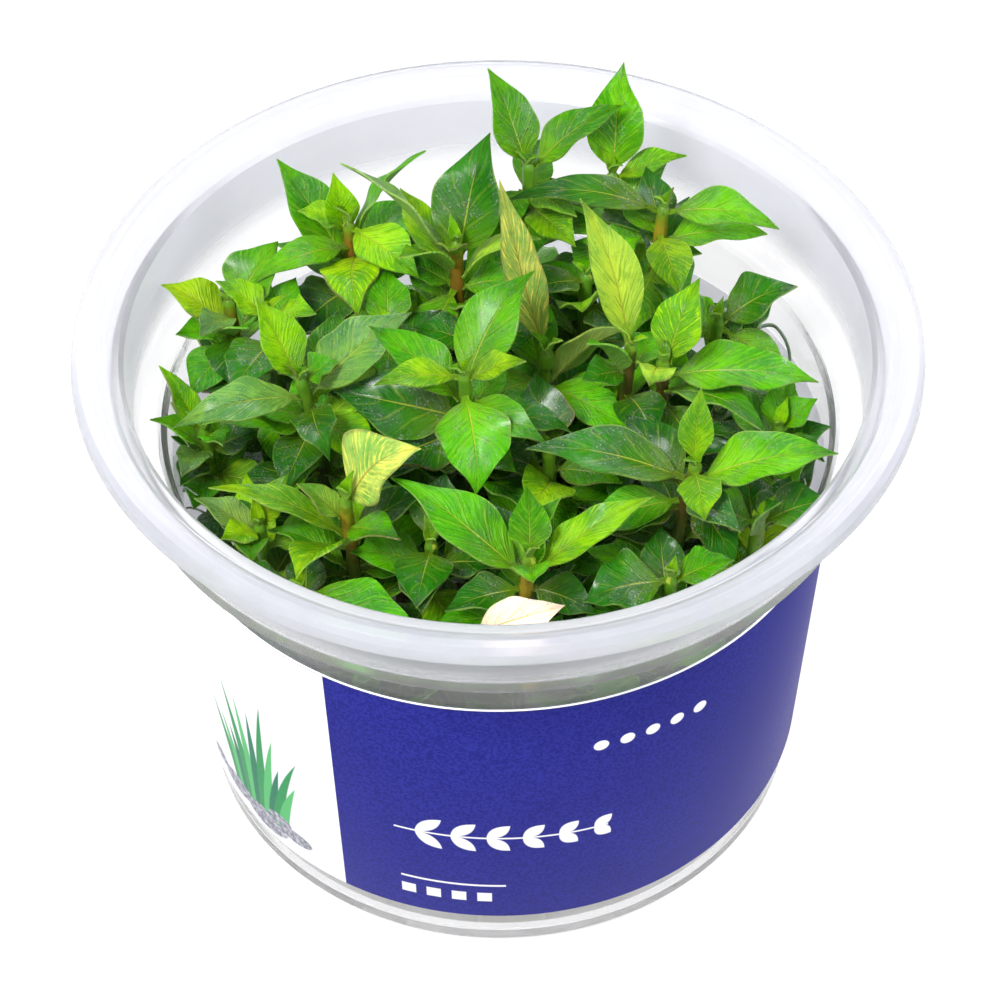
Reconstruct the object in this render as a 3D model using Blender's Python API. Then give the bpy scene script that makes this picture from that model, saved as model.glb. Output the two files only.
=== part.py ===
import math
import random
from collections import namedtuple

import bmesh
import bpy
from mathutils import Matrix, Vector
from mathutils.bvhtree import BVHTree

# All sizes below are millimetres and degrees; the finished meshes are metres.
MM = 0.001
SIDES = 48

# Cup: radius and height pairs that the wall is turned from.
BASE_RADIUS = 38.5
WALL_LOW = 38.95
WALL_LOW_Z = 1.3
WALL_HIGH = 41.75
WALL_HIGH_Z = 57.9
SEAT_RADIUS = 46.3
SEAT_Z = 59.3
LIP_RADIUS = 51.4
LIP_Z = 72.2
RIM_INNER_RADIUS = 45.1
RIM_INNER_Z = 69.8
WALL_THICKNESS = 0.9
FLOOR_THICKNESS = 1.5

# Label band round the tapered wall.
LABEL_LOW_Z = 7.1
LABEL_HIGH_Z = 50.7
LABEL_THICKNESS = 0.3
GAP = 0.3

GEL_HIGH_Z = 14.0

# Plants.
STEM_FOOT = 1.1
STEM_CROWN = 0.75
NODE_HALF = 0.6
NODE_STEP = 8.0
LOW_NODES = 2
LEAF_THICKNESS = 0.6
LEAF_FOLD = 0.22
CLEARANCE = 0.22
PETIOLE_BLOCK = (0.5, 1.3, 1.1)
LARGE_LEAF = 12.0
TURN_STEP = 5
TURN_REACH = 35
SEED = 11

PLASTIC = ((0.86, 0.88, 0.93), 0.3)
LABEL_FILM = ((0.03, 0.035, 0.3), 0.4)
GEL = ((0.78, 0.76, 0.66), 0.25)
TONES = {
    "dark": ((0.02, 0.13, 0.02), 0.3),
    "mid": ((0.06, 0.26, 0.02), 0.35),
    "young": ((0.2, 0.42, 0.03), 0.4),
    "yellow": ((0.45, 0.5, 0.08), 0.45),
    "bleached": ((0.7, 0.7, 0.5), 0.6),
}

# A leaf leaves its stem "drop" below the crown, towards an azimuth, and its chord rises by "lift".
Leaf = namedtuple("Leaf", "drop azimuth lift length width bow roll tone name", defaults=(0.06, 0, "mid", None))
Shoot = namedtuple("Shoot", "name foot crown turn leaves")
Blade = namedtuple("Blade", "owner drop blade whole middle reach")

SHOOTS = [
    Shoot("shoot_centre", (-3, -6), (-4, -10, 74), -5, [
        Leaf(2.5, 51, 40, 16, 8, name="leaf_centre_rear"),
        Leaf(2.5, -82, -30, 12, 9, 0.08, name="leaf_centre_front"),
        Leaf(0, -168, 8, 10, 4.4, tone="young"),
        Leaf(0, 8, 25, 7, 4.2, tone="young"),
        Leaf(7.5, 168, 5, 15.5, 9, 0.06, -35, "dark", "leaf_dark_glossy"),
        Leaf(7.5, 0, -8, 12, 7, tone="dark"),
        Leaf(10.5, -150, 0, 11.5, 8, 0.08, -20, "dark"),
    ]),
    Shoot("shoot_right", (20, -15), (23, -20, 69), -5, [
        Leaf(0, 81, 60, 9, 4.2, 0, tone="young"),
        Leaf(0, -80, -20, 6.2, 5.2, 0.1, tone="young"),
        Leaf(2.5, 0, 17, 16.7, 8, name="leaf_right_front"),
        Leaf(2.5, 172, 10, 19, 7.6, tone="dark", name="leaf_long_dark"),
        Leaf(7, -160, -8, 13.3, 6.2),
        Leaf(7, -50, -30, 9, 6.2, tone="dark"),
    ]),
    Shoot("shoot_front", (2, -26), (3.5, -31, 65), 93, [
        Leaf(0, 93, 55, 8.4, 5, 0.02),
        Leaf(0, -85, 25, 4.5, 4.6, 0.1),
        Leaf(2.5, 22, 27, 16.5, 5, tone="young", name="leaf_young_lance"),
        Leaf(2.5, 150, 27, 18.7, 7.8, name="leaf_front_left"),
        Leaf(6, -25, -5, 8, 6, tone="dark"),
        Leaf(6, -160, 0, 9.3, 6, tone="dark"),
    ]),
    Shoot("shoot_left", (-20, -3), (-23.5, -6.5, 70), 125, [
        Leaf(0, 140, 58, 11.5, 6.4, 0, tone="young", name="leaf_left_upright"),
        Leaf(0, 15, 30, 4.4, 5, 0.1),
        Leaf(2.5, 32, 27, 15.5, 8.4, name="leaf_left_broad"),
        Leaf(2.5, -160, 4, 15.8, 5.6, 0.16, -10, name="leaf_left_arching"),
        Leaf(6, -42, -9, 10.5, 6.6, tone="young"),
        Leaf(6, 174, 8, 6.5, 5.4),
        Leaf(9, -110, -10, 9, 6.4, tone="dark"),
    ]),
    Shoot("shoot_front_left", (-17, -19), (-18, -22.5, 66), 20, [
        Leaf(0, 20, 38, 8.2, 7.6, 0.16, tone="yellow", name="leaf_crumpled_yellow"),
        Leaf(2.5, 160, 40, 6.6, 4, tone="yellow"),
        Leaf(6, 15, 28, 10.8, 5.2, tone="dark"),
        Leaf(6, 170, 20, 16.8, 3.8, 0.14, tone="young", name="leaf_slender"),
    ]),
    Shoot("shoot_back_left", (-17, 16), (-18.5, 19, 72), 145, [
        Leaf(0, 175, 20, 6, 4.8, tone="young"),
        Leaf(0, -44, -4, 11.5, 7, tone="young"),
        Leaf(2.5, -155, -2, 12.8, 4.8, 0.15, -10),
        Leaf(2.5, 40, 36, 14.3, 4.4, 0.1, -40),
        Leaf(6, 138, 43, 15.8, 7.4, roll=-10, name="leaf_back_left"),
        Leaf(6, -70, 5, 8.5, 6),
        Leaf(9, -140, -15, 9, 9, tone="dark"),
    ]),
    Shoot("shoot_back", (-5, 10), (-5, 13, 74), 65, [
        Leaf(2.5, 70, 52, 16, 9.2, 0.03, tone="dark", name="leaf_back_dark"),
        Leaf(2.5, 158, 42, 18.5, 4.8, 0.05, 40, name="leaf_back_slender"),
        Leaf(0, -100, 45, 4, 4, tone="young"),
        Leaf(6, -118, -30, 11.5, 5.6),
        Leaf(6, -5, 12, 8, 5.6),
        Leaf(6, 165, 22, 8, 5.6),
        Leaf(10, 60, 15, 9, 6.4, tone="dark"),
        Leaf(10, -60, -5, 10, 6.8, tone="dark"),
    ]),
    Shoot("shoot_right_back", (18, 14), (20.5, 17, 76), -10, [
        Leaf(0, -12, 2, 13.7, 6.2, 0.1, name="leaf_back_right"),
        Leaf(0, 175, 2, 18.5, 5, 0.14, -10, tone="dark", name="leaf_back_right_arching"),
        Leaf(3, 110, 45, 7.8, 5.4, tone="dark"),
        Leaf(3, -75, -15, 9, 5.8, tone="young"),
        Leaf(7, -10, 20, 5, 4.2),
        Leaf(7, 170, 10, 9, 6, 0.08, -20),
        Leaf(11, -100, 0, 9.5, 6.6),
    ]),
    Shoot("shoot_peak_left", (4, 20), (4, 24, 77), 110, [
        Leaf(0, 125, 55, 13, 6.6, 0.02, name="leaf_peak_left"),
        Leaf(0, 15, 34, 13.6, 6.4, name="leaf_peak_middle"),
        Leaf(3, -120, -20, 6, 4.8),
        Leaf(3, -45, 8, 8, 5, tone="young"),
        Leaf(7, -135, -20, 12, 5.4),
        Leaf(7, 30, 12, 8, 5.8, tone="dark"),
    ]),
    Shoot("shoot_peak_right", (13, 20), (14.5, 24.5, 75), 85, [
        Leaf(0, 82, 60, 14, 7.4, 0.02, name="leaf_peak_right"),
        Leaf(0, 5, 24, 9, 4.4, tone="young"),
        Leaf(4, 178, 3, 9, 5.4, tone="dark"),
        Leaf(4, -60, 5, 7, 5, tone="dark"),
        Leaf(8, -110, -5, 9.5, 6.6),
    ]),
    Shoot("shoot_middle", (4, 2), (6, 0, 68), 110, [
        Leaf(0, 112, 52, 21.5, 5.2, 0.04, tone="yellow", name="leaf_long_yellow"),
        Leaf(5, 15, 35, 12, 6.6, roll=-70, name="leaf_underside"),
        Leaf(5, -30, -12, 12.6, 6),
        Leaf(9, -150, 5, 9.5, 6.6, tone="dark"),
        Leaf(9, 40, 10, 8.5, 6, tone="dark"),
    ]),
    Shoot("shoot_tall", (14, 0), (16, -3, 72), 115, [
        Leaf(0, 118, 50, 18.4, 6.5, 0.04, tone="yellow", name="leaf_pale_tall"),
        Leaf(4, -150, 15, 6, 5.2, tone="dark"),
        Leaf(4, 62, 8, 6.5, 4.8),
        Leaf(8, -70, 5, 8.5, 6.6, tone="dark"),
    ]),
    Shoot("shoot_middle_right", (20.5, 1), (19.8, -3.5, 69.5), 30, [
        Leaf(0, 58, 50, 11, 6.4, 0.12, tone="young"),
        Leaf(0, -105, 15, 4.4, 5, 0.15, tone="yellow"),
        Leaf(2.5, -8, 5, 18.2, 8, name="leaf_right_broad"),
        Leaf(7, -60, -25, 9, 6, tone="dark"),
    ]),
    Shoot("shoot_right_rear", (26, 8), (27, 5.5, 68), 10, [
        Leaf(0, 10, 30, 10, 7.6, tone="dark", name="leaf_right_dark"),
        Leaf(3, 55, 45, 6, 4.6, tone="dark"),
        Leaf(3, 150, 36, 10, 6),
        Leaf(7, -80, 10, 8, 5),
    ]),
    Shoot("shoot_low_middle", (7, -9), (6, -11, 62), 100, [
        Leaf(0, 100, 52, 9.6, 7.6, tone="dark", name="leaf_dark_upright"),
        Leaf(3, 175, 15, 8, 5.4, tone="dark"),
        Leaf(3, -20, 5, 8.5, 6),
        Leaf(6, -90, -5, 9, 6),
    ]),
    Shoot("shoot_right_edge", (33, -7), (34, -7, 62), 15, [
        Leaf(0, 17, 45, 5.6, 4.2),
        Leaf(3, 175, 18, 8.8, 5.4, tone="dark"),
        Leaf(3, -75, 5, 7, 5),
        Leaf(6, 70, 10, 8, 5),
    ]),
    Shoot("shoot_left_edge", (-35, -5), (-36, -5, 60), 135, [
        Leaf(0, 140, 55, 9.5, 3.6, tone="young"),
        Leaf(0, -60, 30, 5, 4),
        Leaf(3.5, 15, 16, 6, 5.4, tone="dark"),
        Leaf(7, -20, 0, 7.8, 5.4, tone="young"),
        Leaf(7, -100, 5, 6, 5),
    ]),
    Shoot("shoot_far_left", (-32, 11), (-33.5, 12.5, 65), 0, [
        Leaf(0, 45, 48, 9.5, 8),
        Leaf(3.5, 168, 32, 9.8, 7, tone="young"),
        Leaf(3.5, -85, -34, 7.8, 6.6, tone="dark"),
        Leaf(7, -140, -20, 8, 6.6),
    ]),
    Shoot("shoot_rim_left", (-22, -25), (-23.5, -28.5, 57), -10, [
        Leaf(0, -24, -2, 15.5, 8, name="leaf_rim_front"),
        Leaf(0, -178, 22, 9.8, 5, tone="dark"),
        Leaf(3, 90, 15, 7, 5, tone="dark"),
    ]),
    Shoot("shoot_slim", (-28, -18), (-28.5, -20, 59), 50, [
        Leaf(0, 50, 48, 7, 4, tone="young"),
        Leaf(0, -140, 25, 5.5, 4.4, tone="young"),
        Leaf(3, 140, 20, 8, 5, tone="dark"),
    ]),
    Shoot("shoot_inner_left", (-27, 5), (-28, 8, 67), 160, [
        Leaf(0, 160, 32, 7.5, 5.2, tone="young"),
        Leaf(0, -20, 30, 6, 5, tone="young"),
        Leaf(3, 70, 25, 8, 5.4),
        Leaf(3, -118, 0, 10, 7.4, tone="dark"),
    ]),
    Shoot("shoot_front_right", (19, -28), (20, -30.5, 61), -170, [
        Leaf(0, -168, -5, 9.8, 8.6, tone="dark"),
        Leaf(0, 10, 22, 7, 5.4),
        Leaf(3, -75, 0, 7, 6),
        Leaf(3, 95, 25, 8, 5.6, tone="dark"),
    ]),
    Shoot("shoot_far_right", (29, -19), (31, -20.5, 60), 5, [
        Leaf(0, 5, 15, 8.5, 6.8, tone="dark"),
        Leaf(0, 178, 15, 8, 6.6),
        Leaf(3, -85, 0, 7, 6, tone="dark"),
        Leaf(3, 95, 22, 9, 5.8, tone="dark"),
    ]),
    Shoot("shoot_inner_back", (10, 10), (11, 12.5, 69), -60, [
        Leaf(0, -150, 15, 9, 6, tone="dark"),
        Leaf(0, 30, 25, 8, 6),
        Leaf(3.5, -60, 0, 10, 7, tone="dark"),
        Leaf(3.5, 120, 20, 8, 6),
    ]),
    Shoot("shoot_inner", (-3, 4), (-2, 4, 66), 0, [
        Leaf(0, 175, 18, 8, 6, tone="dark"),
        Leaf(0, 5, 20, 8.5, 6, tone="dark"),
        Leaf(3.5, 95, 15, 8, 6, tone="dark"),
        Leaf(3.5, -90, 0, 8, 6, tone="dark"),
    ]),
    Shoot("shoot_inner_rear_left", (-13, 4), (-13.5, 5, 67), 90, [
        Leaf(0, -92, 5, 9, 6.6),
        Leaf(0, 92, 28, 8, 6),
        Leaf(3.5, 175, 10, 8.5, 6.4, tone="dark"),
        Leaf(3.5, 0, 5, 8, 6, tone="dark"),
    ]),
    Shoot("shoot_inner_front", (-8, -21), (-8, -24, 60), -100, [
        Leaf(0, -100, 0, 9, 7, tone="dark"),
        Leaf(0, 80, 22, 9, 6.6, tone="dark"),
        Leaf(3.5, 172, 12, 9, 6.4),
        Leaf(3.5, -10, 8, 8, 6, tone="dark"),
    ]),
]

LOOSE_LEAF = Leaf(0, 13, 6, 11, 5.6, 0.1, 50, "bleached", "leaf_bleached")
LOOSE_LEAF_BASE = (-3, -39, 61)


def clear_scene():
    for item in list(bpy.data.objects):
        bpy.data.objects.remove(item, do_unlink=True)


def make_material(name, colour, roughness):
    material = bpy.data.materials.new(name)
    material.use_nodes = True
    shader = material.node_tree.nodes["Principled BSDF"]
    shader.inputs["Base Color"].default_value = (*colour, 1.0)
    shader.inputs["Roughness"].default_value = roughness
    shader.inputs["Metallic"].default_value = 0.0
    material.diffuse_color = (*colour, 1.0)
    return material


def make_object(name, bm, finish, sharp_angle=60):
    bmesh.ops.recalc_face_normals(bm, faces=bm.faces[:])
    bmesh.ops.scale(bm, vec=(MM, MM, MM), verts=bm.verts[:])
    mesh = bpy.data.meshes.new(name)
    bm.to_mesh(mesh)
    bm.free()
    mesh.shade_smooth()
    mesh.set_sharp_from_angle(angle=math.radians(sharp_angle))
    item = bpy.data.objects.new(name, mesh)
    item.data.materials.append(make_material(name, *finish))
    bpy.context.scene.collection.objects.link(item)
    return item


def turned(name, profile, finish, closed=False):
    """Spin radius and height pairs round the upright axis into one closed body."""
    bm = bmesh.new()
    verts = [bm.verts.new((radius, 0, height)) for radius, height in profile]
    edges = [bm.edges.new(pair) for pair in zip(verts, verts[1:])]
    if closed:
        edges.append(bm.edges.new((verts[-1], verts[0])))
    bmesh.ops.spin(
        bm, geom=verts + edges, cent=(0, 0, 0), axis=(0, 0, 1), angle=math.tau, steps=SIDES,
        use_merge=True,
    )
    bmesh.ops.remove_doubles(bm, verts=bm.verts[:], dist=0.01)
    return make_object(name, bm, finish, 35)


def wall_outside(height):
    """Outer radius of the tapered wall."""
    part = (height - WALL_LOW_Z) / (WALL_HIGH_Z - WALL_LOW_Z)
    return WALL_LOW + part * (WALL_HIGH - WALL_LOW)


def wall_inside(height):
    """Free radius inside the cup, which widens above the ledge and ends at the rim."""
    if height > LIP_Z:
        return LIP_RADIUS
    if height > SEAT_Z + 1:
        return RIM_INNER_RADIUS - 0.5
    return wall_outside(height) - WALL_THICKNESS


def pot():
    outside = [
        (0, 0),
        (BASE_RADIUS - 1.1, 0),
        (BASE_RADIUS, 0.4),
        (WALL_LOW, WALL_LOW_Z),
        (WALL_HIGH, WALL_HIGH_Z),
        (WALL_HIGH + 0.5, WALL_HIGH_Z + 0.5),
        (SEAT_RADIUS - 0.7, SEAT_Z - 0.6),
        (SEAT_RADIUS, SEAT_Z),
        (SEAT_RADIUS + 0.6, LIP_Z - 3.4),
        (SEAT_RADIUS + 1.1, LIP_Z - 2.9),
        (LIP_RADIUS - 0.6, LIP_Z - 2.8),
        (LIP_RADIUS, LIP_Z - 2),
        (LIP_RADIUS - 0.2, LIP_Z - 0.7),
        (LIP_RADIUS - 0.9, LIP_Z),
        (LIP_RADIUS - 1.8, LIP_Z + 0.1),
    ]
    inside = [
        (RIM_INNER_RADIUS + 0.6, RIM_INNER_Z + 0.6),
        (RIM_INNER_RADIUS, RIM_INNER_Z),
        (RIM_INNER_RADIUS - 0.5, SEAT_Z + 1),
        (RIM_INNER_RADIUS - 1, SEAT_Z + 0.3),
        (WALL_HIGH + 0.5, SEAT_Z - 0.1),
        (WALL_HIGH - 0.4, SEAT_Z - 0.7),
        (WALL_HIGH - WALL_THICKNESS, WALL_HIGH_Z - 0.5),
        (WALL_LOW - WALL_THICKNESS + 0.1, FLOOR_THICKNESS + 1.2),
        (WALL_LOW - WALL_THICKNESS - 0.9, FLOOR_THICKNESS),
        (0, FLOOR_THICKNESS),
    ]
    return turned("pot", outside + inside, PLASTIC)


def label():
    low = wall_outside(LABEL_LOW_Z) + GAP
    high = wall_outside(LABEL_HIGH_Z) + GAP
    profile = [
        (low, LABEL_LOW_Z),
        (low + LABEL_THICKNESS, LABEL_LOW_Z),
        (high + LABEL_THICKNESS, LABEL_HIGH_Z),
        (high, LABEL_HIGH_Z),
    ]
    return turned("label", profile, LABEL_FILM, closed=True)


def gel():
    floor = FLOOR_THICKNESS + GAP
    edge = WALL_LOW - WALL_THICKNESS - GAP
    profile = [
        (0, floor),
        (edge - 1.1, floor),
        (edge - 0.1, floor + 1.3),
        (wall_outside(GEL_HIGH_Z) - WALL_THICKNESS - GAP, GEL_HIGH_Z),
        (0, GEL_HIGH_Z),
    ]
    return turned("growth_gel", profile, GEL)


def blade_width(along):
    """Width of the blade at a share of its length, as a part of its full width."""
    grown = max(along - 0.06, 0.0) / 0.94
    return math.sin(math.pi * grown ** 0.72) ** 1.1


def leaf_axes(leaf):
    """Chord, upper side and right-hand directions of a leaf."""
    azimuth = math.radians(leaf.azimuth)
    lift = math.radians(leaf.lift)
    outward = Vector((math.cos(azimuth), math.sin(azimuth), 0))
    upright = Vector((0, 0, 1))
    chord = outward * math.cos(lift) + upright * math.sin(lift)
    upper = upright * math.cos(lift) - outward * math.sin(lift)
    roll = Matrix.Rotation(math.radians(leaf.roll), 3, chord)
    return chord, roll @ upper, roll @ upright.cross(outward)


def leaf_rings(base, leaf, grown=0.0):
    """Four points round the blade at each station, under, right, upper and left, and the tip."""
    chord, upper, right = leaf_axes(leaf)
    stations = (0.16, 0.42, 0.74) if leaf.length >= LARGE_LEAF else (0.36, 0.72)
    thick = LEAF_THICKNESS / 2 + grown
    rings = []
    for along in stations:
        bow = leaf.bow * 4 * along * (1 - along)
        middle = base + (chord * along + upper * bow) * leaf.length
        half = blade_width(along) * leaf.width / 2 + grown
        rise = upper * half * LEAF_FOLD
        rings.append([
            middle - upper * thick,
            middle + right * half + rise,
            middle + upper * thick,
            middle - right * half + rise,
        ])
    return rings, base + chord * (leaf.length + grown)


def body_tree(rings, tip=None):
    """Square rings joined one to the next, and closed at the tip, as a tree for crossing tests."""
    points = [point for ring in rings for point in ring]
    faces = []
    for start in range(0, len(points) - 4, 4):
        faces += [(start + k, start + (k + 1) % 4, start + 4 + (k + 1) % 4, start + 4 + k) for k in range(4)]
    if tip:
        last = len(points) - 4
        points.append(tip)
        faces += [(last + k, last + (k + 1) % 4, last + 4) for k in range(4)]
        faces.append((3, 2, 1, 0))
    return BVHTree.FromPolygons(points, faces)


def stalk_ring(base, leaf):
    """The stalk's own cross-section where it leaves the stem, with its clearance."""
    upper, right = leaf_axes(leaf)[1:]
    half = STEM_CROWN + CLEARANCE
    return [base - upper * half, base + right * half, base + upper * half, base - right * half]


def inside_cup(points):
    return all(
        point.z > GEL_HIGH_Z + 1 and math.hypot(point.x, point.y) < wall_inside(point.z) - GAP
        for point in points
    )


def crosses(trial, blades, stems):
    """Whether a leaf meets another stem or leaf. Its stalk may touch its own stem and node."""
    for name, tree in stems.items():
        if (trial.blade if name == trial.owner else trial.whole).overlap(tree):
            return True
    for other in blades:
        if (other.middle - trial.middle).length > other.reach + trial.reach:
            continue
        if other.owner != trial.owner:
            met = trial.whole.overlap(other.whole)
        elif other.drop != trial.drop:
            met = trial.whole.overlap(other.blade) or trial.blade.overlap(other.whole)
        else:
            met = trial.blade.overlap(other.blade)
        if met:
            return True
    return False


def settle(owner, base, leaf, stems, blades):
    """The nearest turn of the leaf, or the longest shorter one, that crosses nothing."""
    turns = ((1, 0), (-1, 0), (0, 1), (0, -1), (1, 1), (-1, -1), (1, -1), (-1, 1))
    for scale in (1, 0.9, 0.8, 0.7):
        for spread in range(0, TURN_REACH + 1, TURN_STEP):
            for sideways, upwards in turns:
                turned_leaf = leaf._replace(
                    azimuth=leaf.azimuth + spread * sideways,
                    lift=leaf.lift + spread * upwards,
                    length=leaf.length * scale,
                )
                rings, tip = leaf_rings(base, turned_leaf, CLEARANCE)
                if not inside_cup([point for ring in rings for point in ring] + [tip]):
                    continue
                whole = body_tree([stalk_ring(base, turned_leaf)] + rings, tip)
                trial = Blade(owner, leaf.drop, body_tree(rings, tip), whole, (base + tip) / 2, leaf.length * 0.6)
                if not crosses(trial, blades, stems):
                    blades.append(trial)
                    return turned_leaf
    return None


def stem_point(shoot, height):
    """Centre of the stem, which leaves the gel upright and leans towards its crown."""
    low = GEL_HIGH_Z + GAP
    part = (height - low) / (shoot.crown[2] - low)
    foot = Vector((*shoot.foot, 0))
    crown = Vector((*shoot.crown[:2], 0))
    return foot.lerp(crown, part * part) + Vector((0, 0, height))


def stem_half(shoot, height):
    part = (height - GEL_HIGH_Z) / (shoot.crown[2] - GEL_HIGH_Z)
    return STEM_FOOT + part * (STEM_CROWN - STEM_FOOT)


def node_heights(shoot):
    """Heights of the leaf nodes, top first: those of the listed leaves, then the low ones."""
    drops = sorted({leaf.drop for leaf in shoot.leaves})
    drops += [drops[-1] + NODE_STEP * (k + 1) for k in range(LOW_NODES)]
    return [shoot.crown[2] - NODE_HALF - drop for drop in drops]


def stem_rings(shoot):
    """Square rings up the stem: its foot, a pair at each node, the last one at the crown."""
    heights = [GEL_HIGH_Z + GAP]
    for height in reversed(node_heights(shoot)):
        heights += [height - NODE_HALF, height + NODE_HALF]
    rings = []
    for height in heights:
        middle = stem_point(shoot, height)
        reach = stem_half(shoot, height) * math.sqrt(2)
        ring = []
        for corner in range(4):
            angle = math.radians(shoot.turn - 45 + 90 * corner)
            ring.append(middle + Vector((math.cos(angle), math.sin(angle), 0)) * reach)
        rings.append(ring)
    return rings


def socket(shoot, leaf):
    """Middle of the stem's side that a leaf grows from, and the way that side faces."""
    sides = [shoot.turn + 90 * k for k in range(4)]
    side = min(sides, key=lambda angle: abs((leaf.azimuth - angle + 180) % 360 - 180))
    outward = Vector((math.cos(math.radians(side)), math.sin(math.radians(side)), 0))
    height = shoot.crown[2] - NODE_HALF - leaf.drop
    return stem_point(shoot, height) + outward * stem_half(shoot, height), outward


def low_leaves(shoot, chance):
    """Plain leaves in opposite pairs on the nodes below the listed ones."""
    lowest = max(leaf.drop for leaf in shoot.leaves)
    leaves = []
    for k in range(LOW_NODES):
        for side in (0, 180):
            leaves.append(Leaf(
                lowest + NODE_STEP * (k + 1),
                shoot.turn + 90 * (k % 2) + side + chance.uniform(-25, 25),
                chance.uniform(-5, 35),
                chance.uniform(8.5, 11.5),
                chance.uniform(5, 7),
                tone="dark",
            ))
    return leaves


def next_ring(bm, face, ring, points):
    """Extrude a face by one step and put its corners, in the ring's order, on the points."""
    face = bmesh.ops.extrude_discrete_faces(bm, faces=[face])["faces"][0]
    fresh = set(face.verts)
    grown = []
    for vert in ring:
        grown += [edge.other_vert(vert) for edge in vert.link_edges if edge.other_vert(vert) in fresh]
    for vert, point in zip(grown, points):
        vert.co = point
    return face, grown


def close_point(bm, face, point):
    """Close a face with a point above it."""
    middle = bmesh.ops.poke(bm, faces=[face])["verts"][0]
    middle.co = point


def side_ring(face, right):
    """Corners of an upright face: lower left, lower right, upper right, upper left."""
    middle = face.calc_center_median()
    return sorted(face.verts, key=lambda vert: math.atan2((vert.co - middle).z, (vert.co - middle).dot(right)))


def grow_leaf(bm, face, outward, base, leaf):
    ring = side_ring(face, Vector((0, 0, 1)).cross(outward))
    rings, tip = leaf_rings(base, leaf)
    for points in rings:
        face, ring = next_ring(bm, face, ring, points)
    close_point(bm, face, tip)


def nearest_face(bm, point):
    return min(bm.faces, key=lambda face: (face.calc_center_median() - point).length)


def stem_body(shoot):
    """The stem alone: a square foot, extruded from ring to ring, with a bud on its crown."""
    rings = stem_rings(shoot)
    bm = bmesh.new()
    bmesh.ops.create_cube(bm, size=2)
    face = max(bm.faces, key=lambda item: item.calc_center_median().z)
    top = sorted(face.verts, key=lambda vert: math.atan2(vert.co.y, vert.co.x))
    for vert, point in zip(top, rings[1]):
        below = next(edge.other_vert(vert) for edge in vert.link_edges if edge.other_vert(vert).co.z < 0)
        below.co = rings[0][rings[1].index(point)]
        vert.co = point
    ring = top
    for points in rings[2:]:
        face, ring = next_ring(bm, face, ring, points)
    close_point(bm, face, Vector(shoot.crown) + Vector((0, 0, 1.4)))
    return bm


def own_leaf(base, outward, leaf):
    """A leaf as its own body, whose stalk starts as a small block just off the stem."""
    right = Vector((0, 0, 1)).cross(outward)
    length, width, height = PETIOLE_BLOCK
    start = base + outward * (GAP + length / 2)
    place = Matrix((outward * length, right * width, Vector((0, 0, height)))).transposed().to_4x4()
    bm = bmesh.new()
    bmesh.ops.create_cube(bm, size=1, matrix=Matrix.Translation(start) @ place)
    grow_leaf(bm, nearest_face(bm, start + outward * length), outward, base, leaf)
    return make_object(leaf.name, bm, TONES[leaf.tone])


def plants():
    chance = random.Random(SEED)
    stems = {shoot.name: body_tree(stem_rings(shoot)) for shoot in SHOOTS}
    blades = []
    loose = settle("loose", Vector(LOOSE_LEAF_BASE), LOOSE_LEAF, stems, blades)
    listed_leaves = [(shoot, leaf) for shoot in SHOOTS for leaf in shoot.leaves]
    listed_leaves += [(shoot, leaf) for shoot in SHOOTS for leaf in low_leaves(shoot, chance)]
    grown = []
    for shoot, leaf in listed_leaves:
        base = socket(shoot, leaf)[0]
        grown.append((shoot, settle(shoot.name, base, leaf, stems, blades), leaf))
    for shoot in SHOOTS:
        bm = stem_body(shoot)
        for owner, leaf, listed in grown:
            if owner is not shoot or leaf is None:
                continue
            base, outward = socket(shoot, listed)
            if leaf.name:
                own_leaf(base, outward, leaf)
            else:
                grow_leaf(bm, nearest_face(bm, base), outward, base, leaf)
        make_object(shoot.name, bm, TONES["mid"])
    own_leaf(Vector(LOOSE_LEAF_BASE), Vector((1, 0, 0)), loose)
    print("leaves left out:", sum(leaf is None for _, leaf, _ in grown), "of", len(grown))


clear_scene()
pot()
label()
gel()
plants()
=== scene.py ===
import math
import random
from collections import namedtuple

import bmesh
import bpy
from mathutils import Matrix, Vector
from mathutils.bvhtree import BVHTree


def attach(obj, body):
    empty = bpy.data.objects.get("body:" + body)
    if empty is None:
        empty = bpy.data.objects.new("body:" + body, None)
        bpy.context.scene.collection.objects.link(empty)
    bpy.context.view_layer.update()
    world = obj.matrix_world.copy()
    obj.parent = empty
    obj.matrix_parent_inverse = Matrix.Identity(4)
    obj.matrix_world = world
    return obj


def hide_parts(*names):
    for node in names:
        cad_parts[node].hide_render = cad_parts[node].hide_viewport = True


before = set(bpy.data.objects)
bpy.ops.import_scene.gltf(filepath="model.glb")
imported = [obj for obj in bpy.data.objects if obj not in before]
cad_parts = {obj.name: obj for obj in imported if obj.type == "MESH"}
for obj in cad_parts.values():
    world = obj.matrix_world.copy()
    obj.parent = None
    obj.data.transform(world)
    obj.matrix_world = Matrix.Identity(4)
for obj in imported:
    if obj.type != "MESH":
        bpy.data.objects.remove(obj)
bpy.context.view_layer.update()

body = "root"
mm = 0.001  # everything is worked out in millimetres and scaled when a piece is finished


# Shader sums. A Link holds a socket and takes part in plain Python expressions.

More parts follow.
